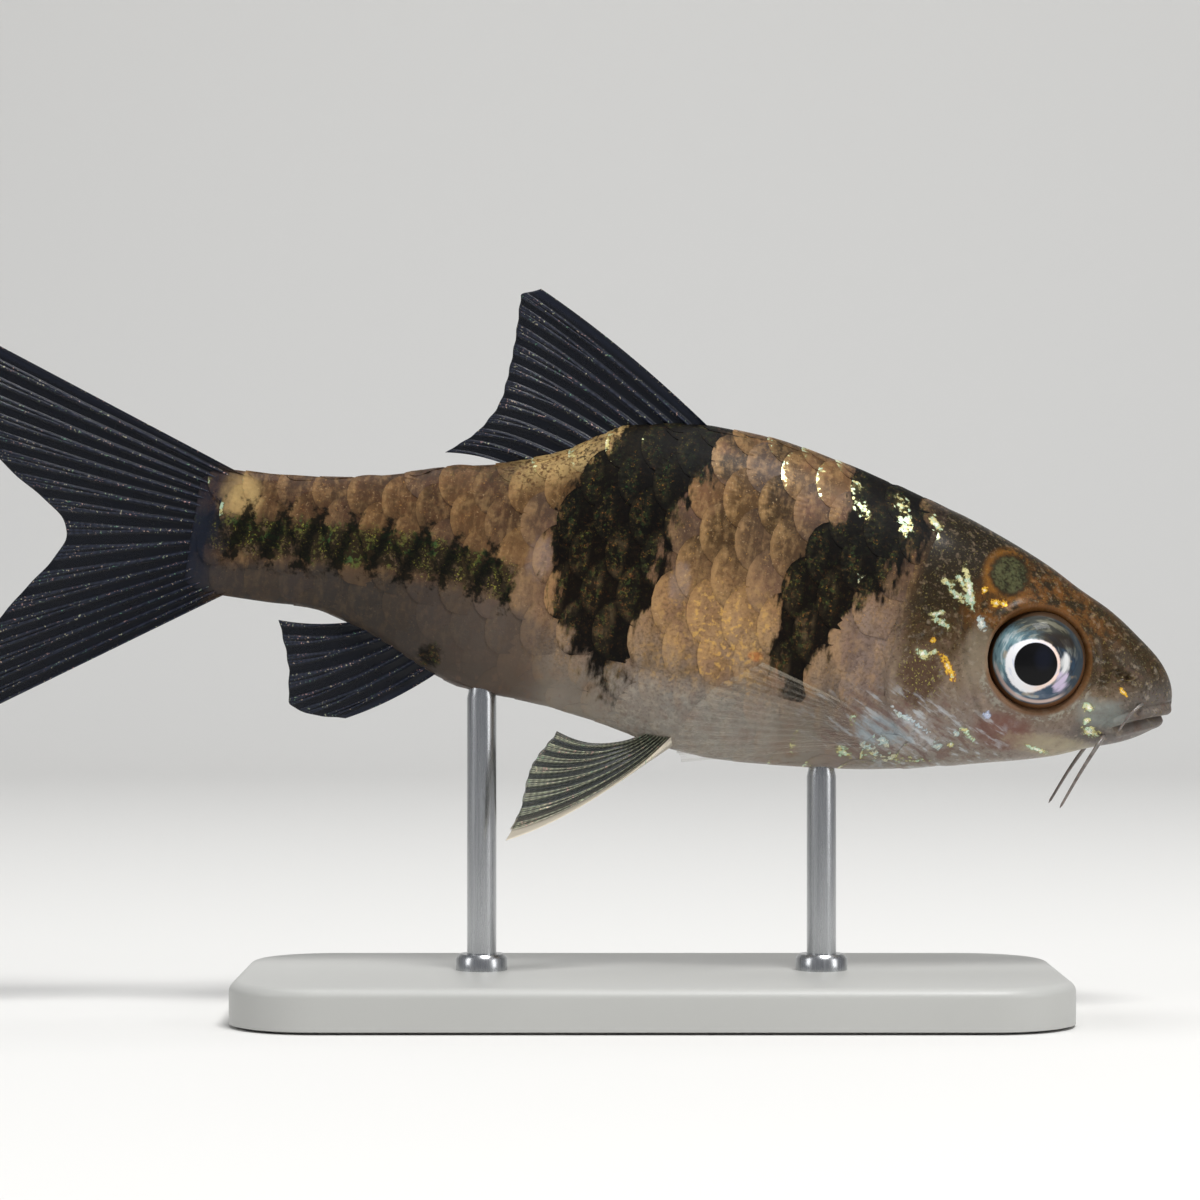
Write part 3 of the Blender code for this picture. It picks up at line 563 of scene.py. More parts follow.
def flank_colour(at):
    """Grey under the belly, golden on the side and brown on the back, with clouds, grains, streaks
    and specks over it. The tail is darker, grey under its stripe and copper over it."""
    s, z, broad, mottle, chips, grain = at.s, at.z, at.broad, at.mottle, at.chips, at.grain
    height = (z + 10.0) / 24.0 + (broad - 0.5) * 0.16
    grey_tone = s.step(44.0, 54.0).mix(paint(88, 77, 69), paint(56, 52, 49))
    copper_tail = s.step(44.0, 48.0) * at.over_stripe.step(1.0, 2.0)
    haze = s.step(25.0, 28.0) * s.step(40.0, 36.0) * z.step(-3.4, -5.4)
    behind_gills = s.step(24.5, 21.5) * z.step(5.0, 1.5)
    open_side = z.step(-7.0, -3.0) * (1 - at.grey_tail * 0.6) * (1 - s.step(40.0, 46.0) * 0.3)
    dust = at.speck_hue.ramp((0.40, (206, 156, 84)), (0.52, (84, 60, 38)), (0.62, (214, 180, 134)))
    under_back = 12.85 - (s - 36.5) * 0.43 - z
    fin_foot = under_back.step(3.0, 0.9) * s.step(36.6, 39.4) * s.step(48.0, 44.6)
    frayed = (chips - 0.5) * 1.2
    rust = patch(at, "rust", frayed).most(patch(at, "rust_before", frayed))
    frayed = (chips - 0.5) * 1.6
    lavender = patch(at, "lavender", frayed).most(patch(at, "lavender_behind", frayed))
    return layered(
        height.ramp(
            (0.03, (150, 141, 130)), (0.16, (134, 124, 112)), (0.27, (140, 121, 104)),
            (0.38, (154, 124, 95)), (0.50, (136, 103, 71)), (0.62, (80, 60, 38)),
            (0.80, (56, 42, 26)), (0.95, (42, 33, 20))),
        (broad.step(0.48, 0.62) * 0.4, (136, 98, 76)),
        (at.golden * mottle.step(0.36, 0.62) * 0.6, (184, 144, 94)),
        (s.step(40.0, 50.0) * 0.80, (48, 36, 27)),
        (at.grey_tail * 0.85, grey_tone),
        (copper_tail * mottle.step(0.3, 0.7) * 0.45, (94, 62, 42)),
        (haze * 0.7, (154, 148, 140)),
        (behind_gills * (0.5 + mottle * 0.5), (138, 122, 114)),
        (rust * 0.75, (206, 128, 66)),
        (grain.step(0.42, 0.70) * open_side * 0.46, (58, 42, 28)),
        ((chips * 0.4 + at.streaks * 0.6).step(0.44, 0.68) * open_side * 0.34, (206, 164, 112)),
        (at.speck * mottle.step(0.35, 0.6) * open_side * 0.45, dust),
        (at.grey_tail * 0.5, grey_tone),
        ((mottle * 0.6 + chips * 0.4).step(0.50, 0.64) * haze * 0.4, (178, 170, 156)),
        ((mottle * 0.5 + broad * 0.5).step(0.50, 0.36) * haze * 0.35, (138, 108, 94)),
        (chips.step(0.50, 0.62) * haze * 0.3, (184, 174, 158)),
        (grain.step(0.50, 0.66) * haze * 0.3, (104, 90, 80)),
        ((at.streaks * 0.6 + chips * 0.4).step(0.48, 0.36) * z.step(-4.0, -7.5) * 0.3, (122, 96, 78)),
        (fin_foot * (chips * 0.5 + grain * 0.5).step(0.38, 0.54) * 0.7, (206, 176, 118)),
        (patch(at, "cream_at_tail", (chips - 0.5) * 1.8) * (0.3 + chips * 0.75), (202, 170, 114)),
        (lavender * 0.22, (174, 160, 160)),
    )


def head_colour(at):
    """Brown and amber over the eye, streaked on the snout, grey and pink underneath, with pearl, rose,
    cream and moss on the gill cover and the jaw, and a pale painted reflection on the lips."""
    wire, s, z, mottle, chips, grain = at.wire, at.s, at.z, at.mottle, at.chips, at.grain
    level = (z + 8.0) / 17.0 + (mottle - 0.5) * 0.26 + (at.broad - 0.5) * 0.24
    eye_z = z - EYE_PLACE[1]
    off_eye = length(s - EYE_PLACE[0], eye_z)
    amber = off_eye.step(7.5, 4.5) * z.step(1.5, 3.5) * mottle.step(0.36, 0.58)
    slanting = noise(wire, wire.vector((s - z) * 0.3, at.y * 0.3, (s + z) * 0.8), 0.55)
    sooty = slanting.step(0.50, 0.62) * s.step(9.0, 5.0) * (z + s * 0.1).step(-0.6, 0.8)
    muzzle = (s + z * 1.5 + (mottle - 0.5) * 2.0).step(4.2, 1.4) * s.step(8.0, 6.0)
    ridge = s.step(9.0, 4.0) * (z + s * 0.15).step(-0.4, 1.4)
    lower_half = z.step(4.0, 0.0)
    olive = at.speck_hue.ramp((0.40, (150, 134, 76)), (0.52, (58, 48, 28)), (0.62, (118, 116, 82)))
    under_eye = off_eye.step(3.72, 3.85) * off_eye.step(4.4, 4.1) * eye_z.step(-0.8, -1.8)
    gills = patch(at, "gill_shade", (chips - 0.5) * 1.6)
    frayed = mottle + chips - 1.0
    return layered(
        level.ramp(
            (0.05, (142, 134, 124)), (0.24, (138, 124, 114)), (0.42, (122, 104, 86)),
            (0.54, (76, 59, 39)), (0.68, (46, 36, 21)), (0.90, (33, 26, 16))),
        (amber * 0.6, (126, 80, 34)),
        (sooty * 0.62, (44, 35, 22)),
        (muzzle * 0.72, (92, 89, 87)),
        (ridge * 0.4, (50, 41, 27)),
        (patch(at, "pearly_cover", frayed * 1.8) * 0.4, (192, 188, 188)),
        (grain.step(0.54, 0.68) * (0.25 + z.step(-3.0, 2.0) * 0.4), (40, 33, 22)),
        (chips.step(0.54, 0.70) * 0.3, (160, 138, 112)),
        ((mottle * 0.7 + chips * 0.3).step(0.47, 0.36) * lower_half * 0.4, (96, 70, 58)),
        ((mottle * 0.6 + chips * 0.4).step(0.54, 0.66) * lower_half * 0.3, (172, 164, 152)),
        (at.speck * z.step(-3.5, 0.0) * 0.45, olive),
        (under_eye * chips.step(0.46, 0.60) * 0.36, (180, 184, 170)),
        (off_eye.step(3.78, 3.62) * 0.65, (112, 74, 40)),
        (patch(at, "blush", (chips - 0.5) * 0.6) * (0.4 + mottle * 0.5), (118, 72, 62)),
        (gills * 0.8, (72, 48, 32)),
        (at.speck * gills * 0.8, (168, 160, 82)),
        # A painted reflection of light on the lips
        (patch(at, "lip_reflection", frayed * 1.6) * (0.15 + chips * 0.8), (146, 154, 148)),
        (patch(at, "creamy_jaw", frayed * 1.8) * (0.1 + mottle * 0.9), (180, 168, 138)),
        (patch(at, "cheek", (mottle - 0.5) * 1.4) * 0.45, (150, 138, 118)),
    )


def throat_coats(at):
    """Pearly and rosy ripples down the throat, and a bluish sheen behind it."""
    s, z = at.s, at.z
    down = at.wire.vector((s * 0.9 + z * 0.44) * 0.22, at.y * 0.4, z * 0.9 - s * 0.44)
    ripples = noise(at.wire, down, 0.42)
    throat = patch(at, "throat", (at.mottle - 0.5) * 1.6)
    sheen = patch(at, "throat_sheen", (at.chips + at.mottle - 1.0) * 2.0)
    return (
        (ripples.step(0.52, 0.66) * throat * 0.6, (204, 210, 214)),
        (ripples.step(0.48, 0.36) * throat * 0.55, (112, 80, 72)),
        (sheen * (0.15 + ripples.step(0.4, 0.6) * 0.5), (150, 166, 174)),
    )


def scale_coats(at, lens, lobe):
    """Painted shade where scales meet, a pale painted highlight in a curved band inside the rear edge, a
    chance tint for each scale, and glints on the golden flank."""
    along_scale, across_scale, chance = lobe
    standing = at.prominence * (1 - at.s.step(42.0, 48.0) * 0.4)
    # Painted shade where the plates meet, and a pale painted highlight inside each rear edge
    gap_shade = (1 - lens) * standing * at.mottle.step(0.2, 0.6)
    crescent_highlight = (along_scale + (at.chips - 0.5) * 0.3).step(0.70, 0.98)
    crescent_highlight = crescent_highlight * (across_scale * across_scale).step(0.8, 0.1)
    return (
        (gap_shade * 0.36, (46, 33, 24)),
        (crescent_highlight * standing * (0.26 - at.grey_tail * 0.2), (208, 162, 108)),
        (chance.step(0.5, 1.0) * 0.12 * standing, (206, 150, 90)),
        (chance.step(0.4, 0.0) * 0.22 * standing, (122, 98, 90)),
        (at.golden * at.chips.step(0.53, 0.64) * (0.25 + chance.step(0.4, 0.9) * 0.4), (218, 170, 92)),
    )


def bar_pigment(at, lens, hue):
    """Black between the lenses, and olive to brown on them, with moss and bright sparks."""
    chips, speck_hue = at.chips, at.speck_hue
    shown = lens * (0.15 + (at.streaks * 0.7 + chips * 0.3).step(0.42, 0.60) * 0.75)
    lens_tone = hue.ramp(
        (0.26, (13, 18, 13)), (0.40, (25, 27, 17)), (0.54, (46, 40, 27)), (0.66, (84, 70, 50)))
    moss = (chips * 0.55 + at.grain * 0.45).step(0.48, 0.62) * (0.08 + lens * 0.6)
    moss = moss * (0.35 + at.z.step(9.5, 0.0) * 0.75)
    moss_tone = speck_hue.ramp(
        (0.36, (58, 74, 40)), (0.47, (92, 84, 46)), (0.58, (104, 70, 44)), (0.68, (52, 58, 34)))
    spark = at.speck * chips.step(0.42, 0.58) * (0.1 + lens * 0.45)
    spark_tone = (speck_hue * 0.6 + hue * 0.4).ramp(
        (0.36, (44, 84, 44)), (0.44, (124, 124, 50)), (0.52, (176, 110, 44)), (0.62, (120, 62, 38)))
    return layered(
        shown.mix(paint(3, 3, 3), lens_tone), (moss * 0.7, moss_tone), (spark * 0.8, spark_tone))


def stripe_strokes(at, in_tail):
    """The stripe's dark strokes, one for each scale's length: near 1 on the lines that lean back
    and forward from its upper edge, and 0 beyond 2 mm from its middle."""
    chips, mottle = at.chips, at.mottle
    phase = (at.s - 1.5) / SCALE_PITCH + (mottle - 0.5) * 0.22
    under_tip = (1.65 - at.over_stripe) / SCALE_PITCH
    from_rearward = phase.sum("PINGPONG", phase - under_tip * 0.25, 0.5) * SCALE_PITCH
    from_forward = phase.sum("PINGPONG", phase + under_tip * 0.48, 0.5) * SCALE_PITCH
    forward = (mottle - 0.5) * 0.9 + 0.2 - from_forward
    stroke = (0.44 - at.over_stripe * 0.07 - from_rearward).most(forward)
    stroke = stroke.sum("MINIMUM", stroke, (2.0 - phase.sum("ABSOLUTE", at.over_stripe)) * 0.5)
    stroke = stroke + (chips - 0.5) * 1.5 + (at.grain - 0.5) * 0.5 + (mottle - 0.5) * 0.6
    return stroke.step(-0.24, 0.30) * in_tail


def stripe_ground(at, hue):
    """Moss, olive and green between the strokes, over a dark ground, with yellow specks."""
    green = (hue + at.over_stripe * 0.07 + (at.speck_hue - 0.5) * 0.24).ramp(
        (0.34, (96, 78, 62)), (0.43, (84, 72, 48)), (0.52, (88, 92, 42)), (0.64, (56, 88, 46)))
    tufts = (at.chips * 0.55 + at.grain * 0.45).step(0.48, 0.60)
    return layered(
        tufts.mix(paint(26, 24, 15), green),
        (at.speck * at.mottle.step(0.42, 0.58) * 0.7, (152, 150, 62)))


def foil_with_painted_glints(at):
    """How far the foil of the flecks shows, its edge colour and its own: a white painted highlight in the
    middle, then cream, mint, blue or gold, and olive, grey or brown at its ragged edge."""
    bright, chips = at.bright, at.chips
    shard_hue, shard_pick = cell_chances(at.wire, at.place, 0.24)
    ragged = (chips - 0.5) * 1.8 + (at.grain - 0.5) * 0.8 + (shard_pick - 0.5) * 0.5
    foil = bright * 1.15 + ragged * bright.step(0.0, 0.2) * (1.2 - bright * 0.7)
    cool, gold = at.warm.step(-0.1, -0.5), at.warm.step(0.3, 0.8)
    edge_tone = gold.mix(cool.mix(paint(112, 106, 62), paint(110, 114, 130)), paint(158, 96, 24))
    cream_or_mint = shard_hue.step(0.3, 0.7).mix(paint(214, 206, 148), paint(190, 212, 182))
    body_tone = gold.mix(cool.mix(cream_or_mint, paint(178, 186, 208)), paint(236, 188, 66))
    highlight_core = foil.step(0.78, 1.2) * (1 - gold * 0.3)
    tone = layered(foil.step(0.30, 0.62).mix(edge_tone, body_tone), (highlight_core, (252, 249, 232)))
    return foil.step(0.18, 0.60), edge_tone, tone


def fish_finish(name, scaled):
    """Skin and scales alike: flank and head, the dark bars, stripe, back and dots, and flecks of gold,
    green and silver with painted glints. On a scale, pigment is weaker on a lens near its rear edge."""
    made, wire, shader = new_finish(name)
    at = fish_clouds(wire)
    s, z, mottle, chips, grain, streaks = at.s, at.z, at.mottle, at.chips, at.grain, at.streaks
    lens = mottle * 0.3
    if scaled:
        # The lens: near 1 on the middle of a scale's open part, 0 where scales meet
        lobe = read(wire, "lobe").parts()
        along_scale, across_scale = lobe[:2]
        reach = (along_scale - 0.79) / 0.24
        reach = reach * reach + across_scale * across_scale * 1.3 + (chips + streaks - 1.0) * 1.3
        lens = reach.step(1.5, 0.3)
    head = (s + z * 0.12 + (at.broad - 0.5) * 2.0).step(20.8, 19.0)
    brow = s.step(20.0, 17.0)
    halo = at.dots.step(-0.6, 0.0) * brow * (chips + s * 0.1 - 1.26).step(0.30, 0.62)
    brow_tone = (chips * 0.4 + grain * 0.4 + mottle * 0.2).step(0.38, 0.62).mix(
        paint(30, 28, 16), paint(76, 80, 52))
    brow_tone = layered(brow_tone, (at.dots.step(0.5, 0.1), (38, 28, 15)))
    brow_spot = (at.dots + (chips - 0.5) * 0.9).step(-0.1, 0.3) * brow
    hue = noise(wire, at.place, 1.3, 1.0) - z * 0.022
    in_tail = (s + (chips - 0.5) * 1.5).step(45.0, 45.8)
    stripe_field = 1.35 - wire.sum("ABSOLUTE", at.over_stripe + 0.15) + (chips - 0.5) * 1.8
    stripe_field = stripe_field.step(-0.3, 0.45) * in_tail
    stroke = stripe_strokes(at, in_tail)
    low_down = z.step(-1.0, -5.0)
    torn = (streaks - 0.5) * (2.2 + low_down * 1.8) + (mottle - 0.5) * (0.8 + low_down * 0.8)
    dark_bars = (at.bars + torn - lens * 0.4 + 0.1).step(-0.25, 0.4 + low_down * 1.2)
    dark_dot = (at.dots + (chips - 0.5) * 1.1).step(-0.1, 0.5) * (1 - brow) * 0.9
    on_tail_back = s.step(42.0, 50.0) * (z + (s - 50.0) * 0.12).step(6.2, 7.2)
    back_line = (z.step(11.6, 12.9) + on_tail_back) * chips.step(0.45, 0.6)
    dark = dark_bars.most(dark_dot).most(back_line * 0.55)
    web_start = (s + (streaks - 0.5) * 3.0).step(64.6, 67.2)
    fleck, edge_tone, fleck_tone = foil_with_painted_glints(at)
    colour = layered(
        head.mix(flank_colour(at), head_colour(at)),
        *throat_coats(at),
        (halo * (0.2 + mottle * 0.85), (136, 88, 28)),
        *(scale_coats(at, lens, lobe) if scaled else ()),
        (stripe_field * 0.88, stripe_ground(at, hue)),
        (dark * 0.98, bar_pigment(at, lens, hue)),
        (brow_spot * 0.95, brow_tone),
        (stroke * 0.94, (8, 9, 6)),
        (web_start * 0.85, (30, 35, 48)),
        # A painted glow round each fleck, then the foil with its painted highlight
        (at.bright.step(0.05, 0.7) * 0.4, edge_tone),
        (fleck, fleck_tone),
    )
    dark = dark.most(stroke)
    height = grain * 0.3 + chips * 0.35 + mottle * 0.3
    if scaled:
        # Fine ribs that fan out over the open part
        fan = across_scale / (along_scale + 0.35) * 42.0 + (chips - 0.5) * 3.0
        height = height + fan.sum("SINE", fan) * along_scale.step(0.6, 0.9) * at.prominence * 0.12
    feed(
        wire, shader, Base_Color=colour,
        Roughness=0.42 - fleck * 0.14 + (grain - 0.5) * 0.2 + dark * 0.12,
        Metallic=fleck * 0.4 + (1 - dark) * 0.06,
        Coat_Weight=(0.03 + head * 0.12) * (1 - dark), Normal=bumpy(wire, 0.5, 0.00006, height),
        Specular_IOR_Level=0.08, Coat_Roughness=0.2, Subsurface_Weight=0.05, Subsurface_Scale=0.001,
    )
    return made


skin.data.materials.append(fish_finish("wet_skin", scaled=False))
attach(skin, "root")
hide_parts("head", "torso", "tail", "gill_cover_left", "gill_cover_right")

# The scales: thin overlapping plates of clear horn over the skin from the gill opening to the
# tail root. Each row follows the flank, every other row is set half a scale back, and each
# plate is rooted under the one before it and rises to the surface at its rounded rear edge.
ROW_GAP = 2.7
ROWS_EACH_WAY = 8  # from the flank's widest level
FIRST_ROOT, LAST_ROOT, ROOTS_IN_ROW = 13.0, 66.2, 24
GILL_ROOM, RIDGE_ROOM = 0.55, 0.15  # how far the roots keep from the gill line and from the ridges
PLATE_HALF_WIDTH = 0.80 * ROW_GAP
PLATE_FRONT, PLATE_REAR = -0.72 * SCALE_PITCH, 0.62 * SCALE_PITCH
REAR_ROUNDING, FRONT_ROUNDING = 0.62 * SCALE_PITCH, 0.25 * SCALE_PITCH  # at the sides
ROOT_DEPTH, EDGE_LIFT, PLATE_THICK, PLATE_CROWN = -0.055, 0.0, 0.03, 0.010
FLAT_DEPTH = 0.04  # how much deeper the plates lie where the fish is smooth
LENGTH_SQUEEZE = ((12, 34, 50, 68), (1.0, 1.0, 0.86, 0.8))  # smaller scales towards the tail

# Lengths along the skin from the back down, in many sections
ARC_STEPS, ARC_STRIDE = 720, 6
arc_s = np.linspace(0.5, TRUNK_END, 260)
arc_angle = np.linspace(0, math.pi, ARC_STEPS + 1)
half_section = trunk_point(arc_s[:, None], arc_angle[None])
arc_steps = np.linalg.norm(np.diff(half_section, axis=1), axis=-1)
arc_run = np.concatenate([np.zeros((len(arc_s), 1)), np.cumsum(arc_steps, axis=1)], axis=1)
flank_run = arc_run[:, ARC_STEPS // 2]  # from the back down to the widest level


def angle_at(s, arc):
    """The angle whose point lies arc mm under the back's ridge, measured along the skin: found
    by counting the stations that it passes, between the two sections beside s."""
    rows = np.clip(np.interp(s, arc_s, np.arange(len(arc_s))), 0, len(arc_s) - 1.001)
    low = rows.astype(int)
    mixed = []
    for row in (low, low + 1):
        passed = np.abs(arc)[..., None] > arc_run[row][..., ::ARC_STRIDE]
        start = np.clip(passed.sum(-1) - 1, 0, ARC_STEPS // ARC_STRIDE - 1) * ARC_STRIDE
        before, after = arc_run[row, start], arc_run[row, start + ARC_STRIDE]
        beyond_start = (np.abs(arc) - before) / (after - before)
        mixed.append(arc_angle[start] + beyond_start * arc_angle[ARC_STRIDE])
    share = rows - low
    return np.sign(arc) * (mixed[0] * (1 - share) + mixed[1] * share)


def scale_roots():
    """(s, arc under the back, side, squeeze) of each plate, row by row on each side."""
    found = []
    for side in (1, -1):
        for row in range(-ROWS_EACH_WAY, ROWS_EACH_WAY + 1):
            stagger = (row % 2) * SCALE_PITCH / 2
            s = FIRST_ROOT + stagger + SCALE_PITCH * np.arange(ROOTS_IN_ROW)
            squeeze = smooth(*LENGTH_SQUEEZE, s)
            arc = np.interp(s, arc_s, flank_run) + row * ROW_GAP * squeeze
            point = trunk_point(s, angle_at(s, np.clip(arc, 0.01, None)))
            total = np.interp(s, arc_s, arc_run[:, -1])
            behind, _ = beside(GILL_LINE, s, point[:, 2])
            clear = (arc > RIDGE_ROOM) & (arc < total - RIDGE_ROOM)
            keep = clear & (behind > GILL_ROOM) & (s < LAST_ROOT)
            found += [(a, b, side, q) for a, b, q in zip(s[keep], arc[keep], squeeze[keep])]
    return np.array(found)


def border(cell):
    """The point numbers along the four sides of a grid, once round."""
    return np.concatenate([cell[:, 0], cell[-1, 1:], cell[-2::-1, -1], cell[0, -2:0:-1]])


roots = scale_roots()
first_s, first_arc, plate_side, squeeze = (column[:, None, None] for column in roots.T)
draw = np.random.default_rng(7)
plate_chance = draw.random(len(roots))
chance = plate_chance[:, None, None]
# On a plate of its own, b runs from side to side, -1 to 1, and p from root to rear edge, 0 to 1
plate_across, plate_along = 9, 5
b_local = np.sin(np.linspace(-math.pi / 2, math.pi / 2, plate_across))[None, :, None]
p_local = np.array([0.0, 0.35, 0.65, 0.88, 1.0])[None, None, :]
rear_fall = 1 - np.sqrt(np.clip(1 - (0.985 * b_local) ** 2, 0, 1))  # nearly a half circle
rear_edge = PLATE_REAR - REAR_ROUNDING * rear_fall
front_edge = PLATE_FRONT + FRONT_ROUNDING * b_local**2
a_local = front_edge + (rear_edge - front_edge) * p_local
# The plates laid along the rows, and folded back where they would cross the belly's ridge
plate_s = first_s + a_local * (0.5 + 0.5 * squeeze)
plate_row = first_arc - np.interp(first_s, arc_s, flank_run) + np.interp(plate_s, arc_s, flank_run)
plate_arc = plate_row + b_local * PLATE_HALF_WIDTH * squeeze
total_here = np.interp(plate_s, arc_s, arc_run[:, -1])
over = plate_arc > total_here
plate_arc = np.where(over, 2 * total_here - plate_arc, plate_arc)
held_s = np.clip(plate_s, 0.6, 67.5)  # inside the trunk's ends
plate_angle = angle_at(held_s, plate_arc) * plate_side * np.where(over, -1, 1)
plate_base = trunk_point(held_s, plate_angle)
nudge = 0.02
plate_normal = np.cross(
    trunk_point(held_s, plate_angle + nudge) - plate_base,
    trunk_point(held_s + nudge, plate_angle) - plate_base)
plate_normal /= np.linalg.norm(plate_normal, axis=-1, keepdims=True)
away_from_axis = (plate_base - [0, 0, 1.0]) * [0, 1, 1]
plate_normal *= np.sign((plate_normal * away_from_axis).sum(-1, keepdims=True))
root_point = trunk_point(roots[:, 0] + 0.3, angle_at(roots[:, 0] + 0.3, roots[:, 1]))
root_s, root_z = root_point[:, 0], root_point[:, 2]
# Scales stand out on the back and mid flank, and lie under smooth skin below and behind the gills
prominence = soft_step(-5.5, -1.5, root_z) * soft_step(0.5, 4.5, beside(GILL_LINE, root_s, root_z)[0])
low_on_tail = soft_step(44, 48, root_s) * soft_step(0.0, -2.0, root_z)
prominence = (0.25 + 0.75 * prominence * (1 - 0.7 * low_on_tail))[:, None, None]
rise = (EDGE_LIFT - ROOT_DEPTH) * p_local * (0.4 + 0.6 * prominence)
crown = PLATE_CROWN * (1 - b_local**2) * np.sin(p_local * math.pi)
lift = ROOT_DEPTH + rise + crown + PLATE_CROWN * (chance - 0.5) - FLAT_DEPTH * (1 - prominence)
thickness = PLATE_THICK * (0.35 + 0.65 * prominence)
top = plate_base + plate_normal * lift[..., None]
bottom = plate_base + plate_normal * (lift - thickness)[..., None]
# Each plate has its top, a rim all round and a flat sole
plate_size = plate_across * plate_along
local = np.arange(plate_size).reshape(plate_across, plate_along)
rim = border(local)
rim_under = plate_size + np.arange(len(rim))
rim_faces = np.stack([rim, rim_under, np.roll(rim_under, -1), np.roll(rim, -1)], axis=-1)
under = bottom.reshape(len(roots), plate_size, 3)[:, rim]
plate_points = np.concatenate([top.reshape(len(roots), plate_size, 3), under], axis=1)
each = plate_size + len(rim)
start = (np.arange(len(roots)) * each)[:, None, None]
plate_quads = start + np.concatenate([grid_faces(local), rim_faces])[None]
plate_soles = start[:, 0] + rim_under[None, ::-1]
other_side = roots[:, 2] < 0
plate_quads[other_side] = plate_quads[other_side][..., ::-1]
plate_soles[other_side] = plate_soles[other_side][..., ::-1]


def on_plates(values):
    """A vector for each point of the top faces, given to the rims' lower points too."""
    values = values.reshape(len(roots), plate_size, 3)
    return np.concatenate([values, values[:, rim]], axis=1).reshape(-1, 3)


# The dark bars keep to whole scales, so they are read mostly at each plate's middle
plate_z = plate_base[..., 2]
OWN_SHARE = 0.6  # of the reading, at the point itself
plate_marks = marks_at(
    (1 - OWN_SHARE) * root_s[:, None, None] + OWN_SHARE * plate_s,
    (1 - OWN_SHARE) * root_z[:, None, None] + OWN_SHARE * plate_z)
plate_marks[..., 1:] = marks_at(plate_s, plate_z)[..., 1:]
# Rear edges that shine, with painted glints: on the nape, at the dorsal fin's foot, on the throat and at the
# tail root
from_back = root_z - trunk_sizes(root_s)[0]
nape = soft_step(31.0, 28.0, root_s) * soft_step(21.5, 24.0, root_s)
nape *= soft_step(-4.0, -2.4, from_back) * (0.5 + 0.5 * plate_chance)
fin_foot = soft_step(46.0, 44.0, root_s) * soft_step(36.5, 39.0, root_s) * soft_step(-2.6, -1.6, from_back)
throat = soft_step(27.0, 22.0, root_s) * soft_step(-6.5, -7.5, root_z) * (plate_chance > 0.3)
tail_patch = bump(root_s - 64.8, 1.6) * bump(root_z - 3.2, 1.3)
sparkle = np.maximum.reduce([nape * 0.68, fin_foot * 0.7, throat * 0.8, tail_patch * 0.7])
glow = sparkle[:, None, None] * bump(b_local, 0.6) * soft_step(0.82, 1.0, p_local)
glow_warm = np.maximum.reduce([fin_foot, tail_patch, nape * 0.8])[:, None, None] * 0.45
# The flecks and their painted glints, where they fall on plates
fleck_glow, fleck_warmth = glint_flecks_at(plate_s, plate_z)
glow_warm = np.where(fleck_glow > glow, fleck_warmth, glow_warm)
glow = np.maximum(glow, fleck_glow)
# Each plate's patch of the map is about 0.003 across. Its rim lies round it, and its sole in a
# corner of it that the plate in front covers.
PATCH_HALF, SOLE_SHIFT, SOLE_SHARE = 0.0015, -0.0013, 0.08
patch_uv = np.stack(np.broadcast_arrays(b_local * plate_side, (p_local - 0.5) * 2), axis=-1)
patch_uv = patch_uv.reshape(len(roots), plate_size, 2)
patch_uv = np.concatenate([patch_uv, patch_uv[:, rim] * 1.12], axis=1) * PATCH_HALF
patch_place = np.stack([0.5 + roots[:, 2] * roots[:, 1] / 60.0, (roots[:, 0] - 10.0) / 60.0], axis=-1)
patch_place = patch_place[:, None]
point_uv = (patch_place + patch_uv).reshape(-1, 2)
sole_uv = (patch_place + [0, SOLE_SHIFT] + patch_uv * SOLE_SHARE).reshape(-1, 2)
plate_quads = plate_quads.reshape(-1, 4)
scales = sew(
    "scales", in_model(plate_points.reshape(-1, 3)), [plate_quads, plate_soles],
    [point_uv[plate_quads], sole_uv[plate_soles]],
    place=on_plates(np.stack([plate_s, plate_base[..., 1], plate_z], axis=-1)),
    marks=on_plates(plate_marks),
    shine=on_plates(np.stack(np.broadcast_arrays(glow, glow_warm, prominence), axis=-1)),
    lobe=on_plates(np.stack(np.broadcast_arrays(p_local, b_local, chance), axis=-1)),
)
scales.data.set_sharp_from_angle(angle=math.radians(50))
scales.data.materials.append(fish_finish("scale_horn", scaled=True))
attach(scales, "root")

# The eyes: flattened balls in their sockets, a black pupil in a bright ring and a silvery iris
# with blue, mauve and gold clouds, all in one glossy surface. They look sideways, a little up.
EYE_TILT = math.radians(5)


